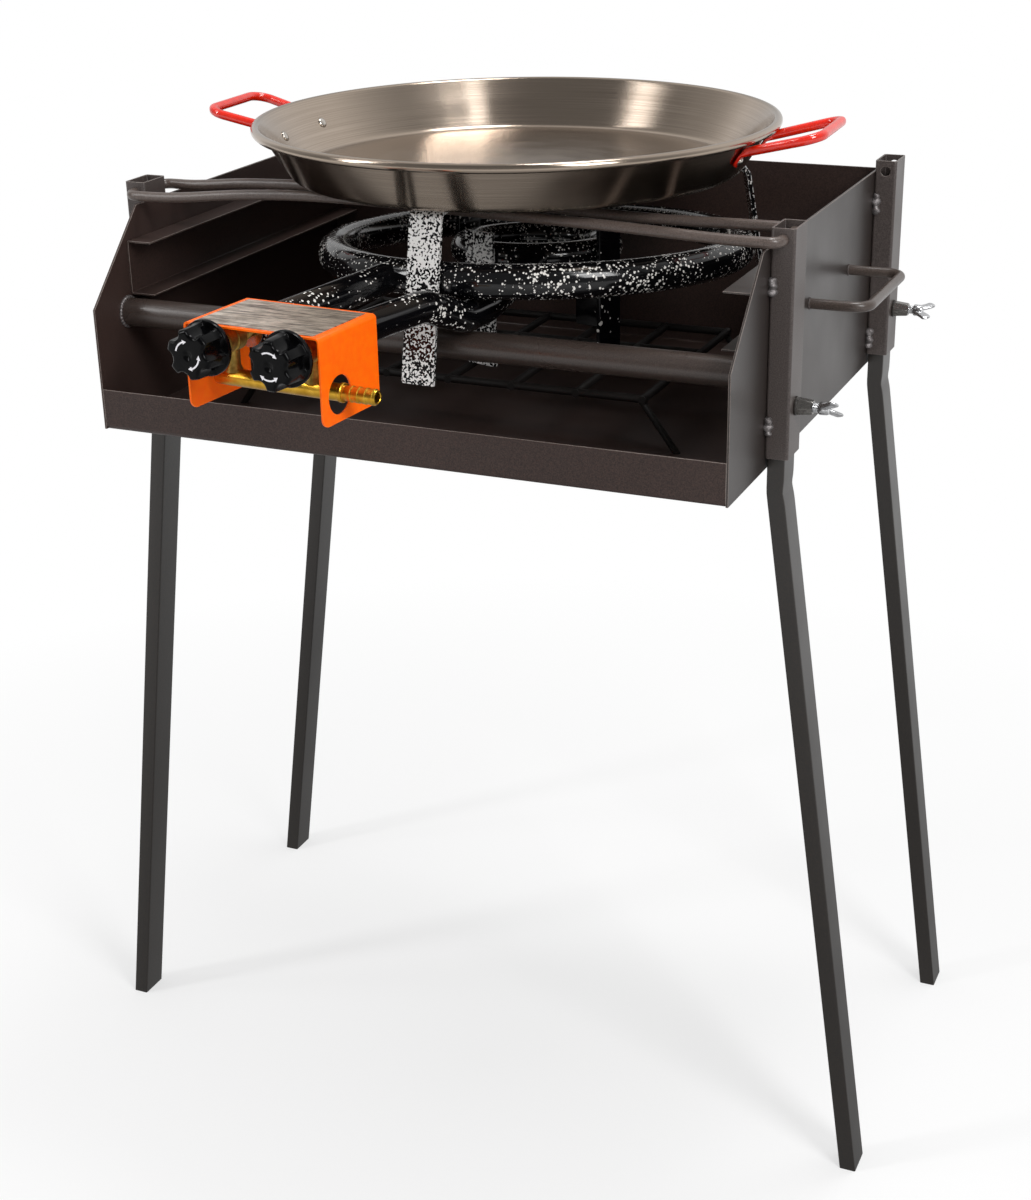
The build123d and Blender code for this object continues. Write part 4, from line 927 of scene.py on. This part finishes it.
normal = np.stack([-along[:, 1], along[:, 0]], -1)
normal[0] = (0, 1)
profile = np.concatenate([line + normal * half_sheet, (line - normal * half_sheet)[::-1]])
grid = turned(profile[:, 0] * MM, profile[:, 1] * MM, pan, UP, RIGHT, PAN_STEPS)
make_piece("brushed_pan", [grid], "pan", pan_steel, ["pan_body"], 60)

# %% [markdown]
# ## Pan handles and rivets
# Each handle is one red rod. Its ends are hammered flat, riveted to the outside of the wall, and the rod
# leaves under the rim. One section is carried along the whole line: wide and thin at the ends, round along
# the grip.

# %% Handles
PAN_TURN, FOOT_ANGLE = 2.5, 10.2
# Climb and lift of the rod's line over the wall, and the bends in it
FOOT_LINE, FOOT_BENDS = ((21.5, 2.5), (33.0, 2.7), (39.0, 5.3)), (4.0, 5.0)
LOOP_REACH, LOOP_HALF, LOOP_HEIGHT, LOOP_BEND = 281.0, 49.0, 46.0, 15.0
GRIP_ROD, PADDLE_HALF_WIDTH, PADDLE_HALF_THICK = 4.0, 6.6, 1.5
PADDLE_LENGTH, GRIP_START, TIP_LENGTH, TIP_ROOM, TIP_LEAST = 10.0, 19.0, 5.5, 0.1, 0.02
GRIP_STEP, GRIP_POWER, GRIP_AROUND = 1.6, 2.3, 24
RIVET_CLIMB = 27.5


def wall_point(angle, climb, lift):
    """Point on the pan's wall at an angle in degrees: climb up the slope, lift out from mid-sheet."""
    spoke = heading(angle)
    outward = spoke * wall[1] - UP * wall[0]
    reach, height = BASE_RADIUS + wall[0] * climb, half_sheet + wall[1] * climb
    return pan + (spoke * reach + UP * height + outward * lift) * MM


for side, handle in (("right", PAN_TURN), ("left", PAN_TURN + 180)):
    spoke = heading(handle)
    around = np.cross(UP, spoke)
    loop = pan + (spoke * LOOP_REACH + UP * LOOP_HEIGHT) * MM
    near, far = handle - FOOT_ANGLE, handle + FOOT_ANGLE
    corners = [wall_point(near, *place) for place in FOOT_LINE]
    corners += [loop - around * LOOP_HALF * MM, loop + around * LOOP_HALF * MM]
    corners += [wall_point(far, *place) for place in FOOT_LINE[::-1]]
    bends = np.array([*FOOT_BENDS, LOOP_BEND, LOOP_BEND, *FOOT_BENDS[::-1]]) * MM
    path = bent_path(corners, bends, GRIP_STEP * MM)
    run = run_length(path) / MM
    from_end = np.minimum(run, run[-1] - run)
    rounded = smooth_step(from_end, PADDLE_LENGTH, GRIP_START)
    to_tip = np.maximum(TIP_LENGTH - from_end, 0) / (TIP_LENGTH + TIP_ROOM)
    tip = np.sqrt(np.maximum(1 - to_tip**2, TIP_LEAST))
    width = (PADDLE_HALF_WIDTH + (GRIP_ROD - PADDLE_HALF_WIDTH) * rounded) * tip
    thick = PADDLE_HALF_THICK + (GRIP_ROD - PADDLE_HALF_THICK) * rounded
    rod = carried(path, UP, thick * MM, width * MM, GRIP_POWER, GRIP_AROUND)
    node = f"pan_handle_{side}"
    make_piece(f"red_{node}", [capped(rod)], "pan", red_enamel, [node])

# %% Rivets
DOME_ROWS = np.array([(-0.4, 4.9), (0.25, 4.9), (0.9, 4.5), (1.5, 3.6), (1.9, 2.2), (2.05, 0.9), (2.1, 0.0)])
DOME_STEPS = 28
# Inner head and outer head: which way it points, its distance from the sheet's middle, and its size
RIVET_HEADS = ((-1, half_sheet, 1.0), (1, 3.9, 0.72))
rivets = []
for handle in (PAN_TURN, PAN_TURN + 180):
    for foot in (-FOOT_ANGLE, FOOT_ANGLE):
        place = wall_point(handle + foot, RIVET_CLIMB, 0)
        outward = unit(wall_point(handle + foot, RIVET_CLIMB, 1) - place)
        slope = unit(wall_point(handle + foot, RIVET_CLIMB + 1, 0) - place)
        for way, lift, size in RIVET_HEADS:
            seat = place + outward * way * lift * MM
            dome = lathe(DOME_ROWS * (1, size), seat, outward * way, slope, DOME_STEPS)
            rivets.append(capped(dome))
make_piece("domed_pan_rivets", rivets, "pan", rivet_steel, ["pan_rivets"])

# %% [markdown]
# ## Floor, light and camera
# The object stands on a plain white sweep, and the world looks white to the camera. Shiny surfaces see a
# round studio with white panels behind the object and darker ones around the camera, and the rest gets a soft
# grey light. Soft lamps stand at the left, the right and above; two narrow strips give the pan its bright
# bands. The camera's place and lens were worked out from the photograph's own straight lines.

# %% Floor
NEAR_GLOW, SEEN_WHITE_FROM = 0.4, 1.3
MIRRORED_GLOW, MIRRORED_FROM, MIRRORED_WHITE_FROM = 0.4, 0.3, 2.5
FLOOR_HALF, FLOOR_DROP = 12.0, 0.2 * MM


def ray_kinds(tree):
    """Whether a ray comes from the camera, and whether it comes off or through a shiny surface."""
    rays = add(tree, "LightPath").outputs
    shiny = combine(tree, "MAXIMUM", rays["Is Glossy Ray"], rays["Is Transmission Ray"])
    return rays["Is Camera Ray"], shiny


floor_material, floor_tree, floor_place = start_finish("floor_white")
away = add(floor_tree, "VectorMath", {0: floor_place}, operation="LENGTH").outputs["Value"]
seen = spread(floor_tree, away, 0.0, SEEN_WHITE_FROM, NEAR_GLOW, 1.0)
mirrored = spread(floor_tree, away, MIRRORED_FROM, MIRRORED_WHITE_FROM, MIRRORED_GLOW, 1.0)
from_camera, shiny = ray_kinds(floor_tree)
white = spread(floor_tree, from_camera, 0.0, 1.0, shiny, seen)
glow = spread(floor_tree, shiny, 0.0, 1.0, 1.0, mirrored)
matt = add(floor_tree, "BsdfDiffuse", {"Color": linear("#f2f2f2")}).outputs[0]
glow = add(floor_tree, "Emission", {"Color": linear("#ffffff"), "Strength": glow}).outputs[0]
sweep = add(floor_tree, "MixShader", {0: white, 1: matt, 2: glow}).outputs[0]
add(floor_tree, "OutputMaterial", {"Surface": sweep})
floor_line = np.linspace(-FLOOR_HALF, FLOOR_HALF, 3)
floor_x, floor_y = np.meshgrid(floor_line, floor_line, indexing="ij")
floor_mesh = grid_mesh(np.stack([floor_x, floor_y, 0 * floor_x - FLOOR_DROP], -1), False, False)
floor_mesh.materials.append(floor_material)
floor = put("floor", floor_mesh)
print("floor", 2 * FLOOR_HALF, "m wide")

# %% World
scene.world = bpy.data.worlds.new("studio")
scene.world.use_nodes = True
sky_tree = scene.world.node_tree
sky_tree.nodes.clear()
look = add(sky_tree, "TexCoord").outputs["Generated"]
FILL = 0.5
# Compass angles in degrees from +X, and how bright the studio's wall is there
ROUND_STUDIO = [
    (-180, 0.5), (-165, 0.32), (-135, 0.24), (-66, 0.22), (-20, 0.3), (5, 0.4), (22, 0.6),
    (45, 1.0), (75, 1.0), (112, 0.58), (135, 0.8), (152, 1.0), (166, 0.6), (180, 0.42),
]
axes = add(sky_tree, "SeparateXYZ", {"Vector": look}).outputs
compass = combine(sky_tree, "ARCTAN2", axes["Y"], axes["X"])
compass = spread(sky_tree, compass, -math.pi, math.pi)
panels = add(sky_tree, "ValToRGB", {"Fac": compass})
stops = panels.color_ramp.elements
for angle, grey in ROUND_STUDIO:
    stop = stops[0] if angle == -180 else stops[-1] if angle == 180 else stops.new((angle + 180) / 360)
    stop.color = (grey, grey, grey, 1)
from_camera, shiny = ray_kinds(sky_tree)
strength = spread(sky_tree, shiny, 0.0, 1.0, FILL, panels.outputs["Color"])
strength = spread(sky_tree, from_camera, 0.0, 1.0, strength, 1.0)
sky = add(sky_tree, "Background", {"Color": linear("#ffffff"), "Strength": strength})
add(sky_tree, "OutputWorld", {"Surface": sky.outputs[0]})
print("studio panels:", len(ROUND_STUDIO))

# %% Lamps
AIM = np.array([0.0, 0.05, 0.75])


def aimed(right, up, out, place):
    """Matrix of an object at a place whose own axes are right, up and out."""
    return Matrix([[right[k], up[k], out[k], place[k]] for k in range(3)] + [[0, 0, 0, 1]])


def soft_lamp(name, place, size, watts):
    """Large area lamp at a place, turned to the middle of the set."""
    data = bpy.data.lights.new(name, "AREA")
    data.shape = "RECTANGLE"
    data.size, data.size_y = size
    data.energy = watts
    out = unit(np.array(place) - AIM)
    right = unit(np.cross(UP, out))
    put(name, data).matrix_world = aimed(right, np.cross(out, right), out, place)


soft_lamp("key_box", (1.92, -1.18, 2.3), (0.8, 1.2), 36)
soft_lamp("right_strip", (1.38, -0.98, 2.83), (0.31, 1.2), 4.4)
soft_lamp("left_box", (-1.79, -1.5, 2.0), (0.3, 1.5), 20)
soft_lamp("left_strip", (-1.62, -0.74, 2.74), (0.27, 1.2), 4)
soft_lamp("top_box", (0.26, 0.52, 2.95), (0.6, 0.6), 20)
print("lamps: 5")

# %% Camera
CAMERA_PLACE = np.array([0.7291, -1.51665, 1.2191])
YAW, PITCH, ROLL = 24.07, math.radians(22.9), math.radians(-1.2)
FOCAL_PIXELS, FRAME_HEIGHT, SENSOR = 1980.7, 1200.0, 36.0
level = heading(YAW)
forward = np.cross(UP, level) * math.cos(PITCH) - UP * math.sin(PITCH)
above = np.cross(level, forward)
right = level * math.cos(ROLL) + above * math.sin(ROLL)
up = above * math.cos(ROLL) - level * math.sin(ROLL)
camera_data = bpy.data.cameras.new("camera")
camera_data.sensor_width = SENSOR
camera_data.lens = FOCAL_PIXELS / FRAME_HEIGHT * SENSOR
camera = put("camera", camera_data)
camera.matrix_world = aimed(right, up, -forward, CAMERA_PLACE)
scene.camera = camera
scene.view_settings.view_transform = "Standard"
print("lens", round(camera_data.lens, 2), "mm")
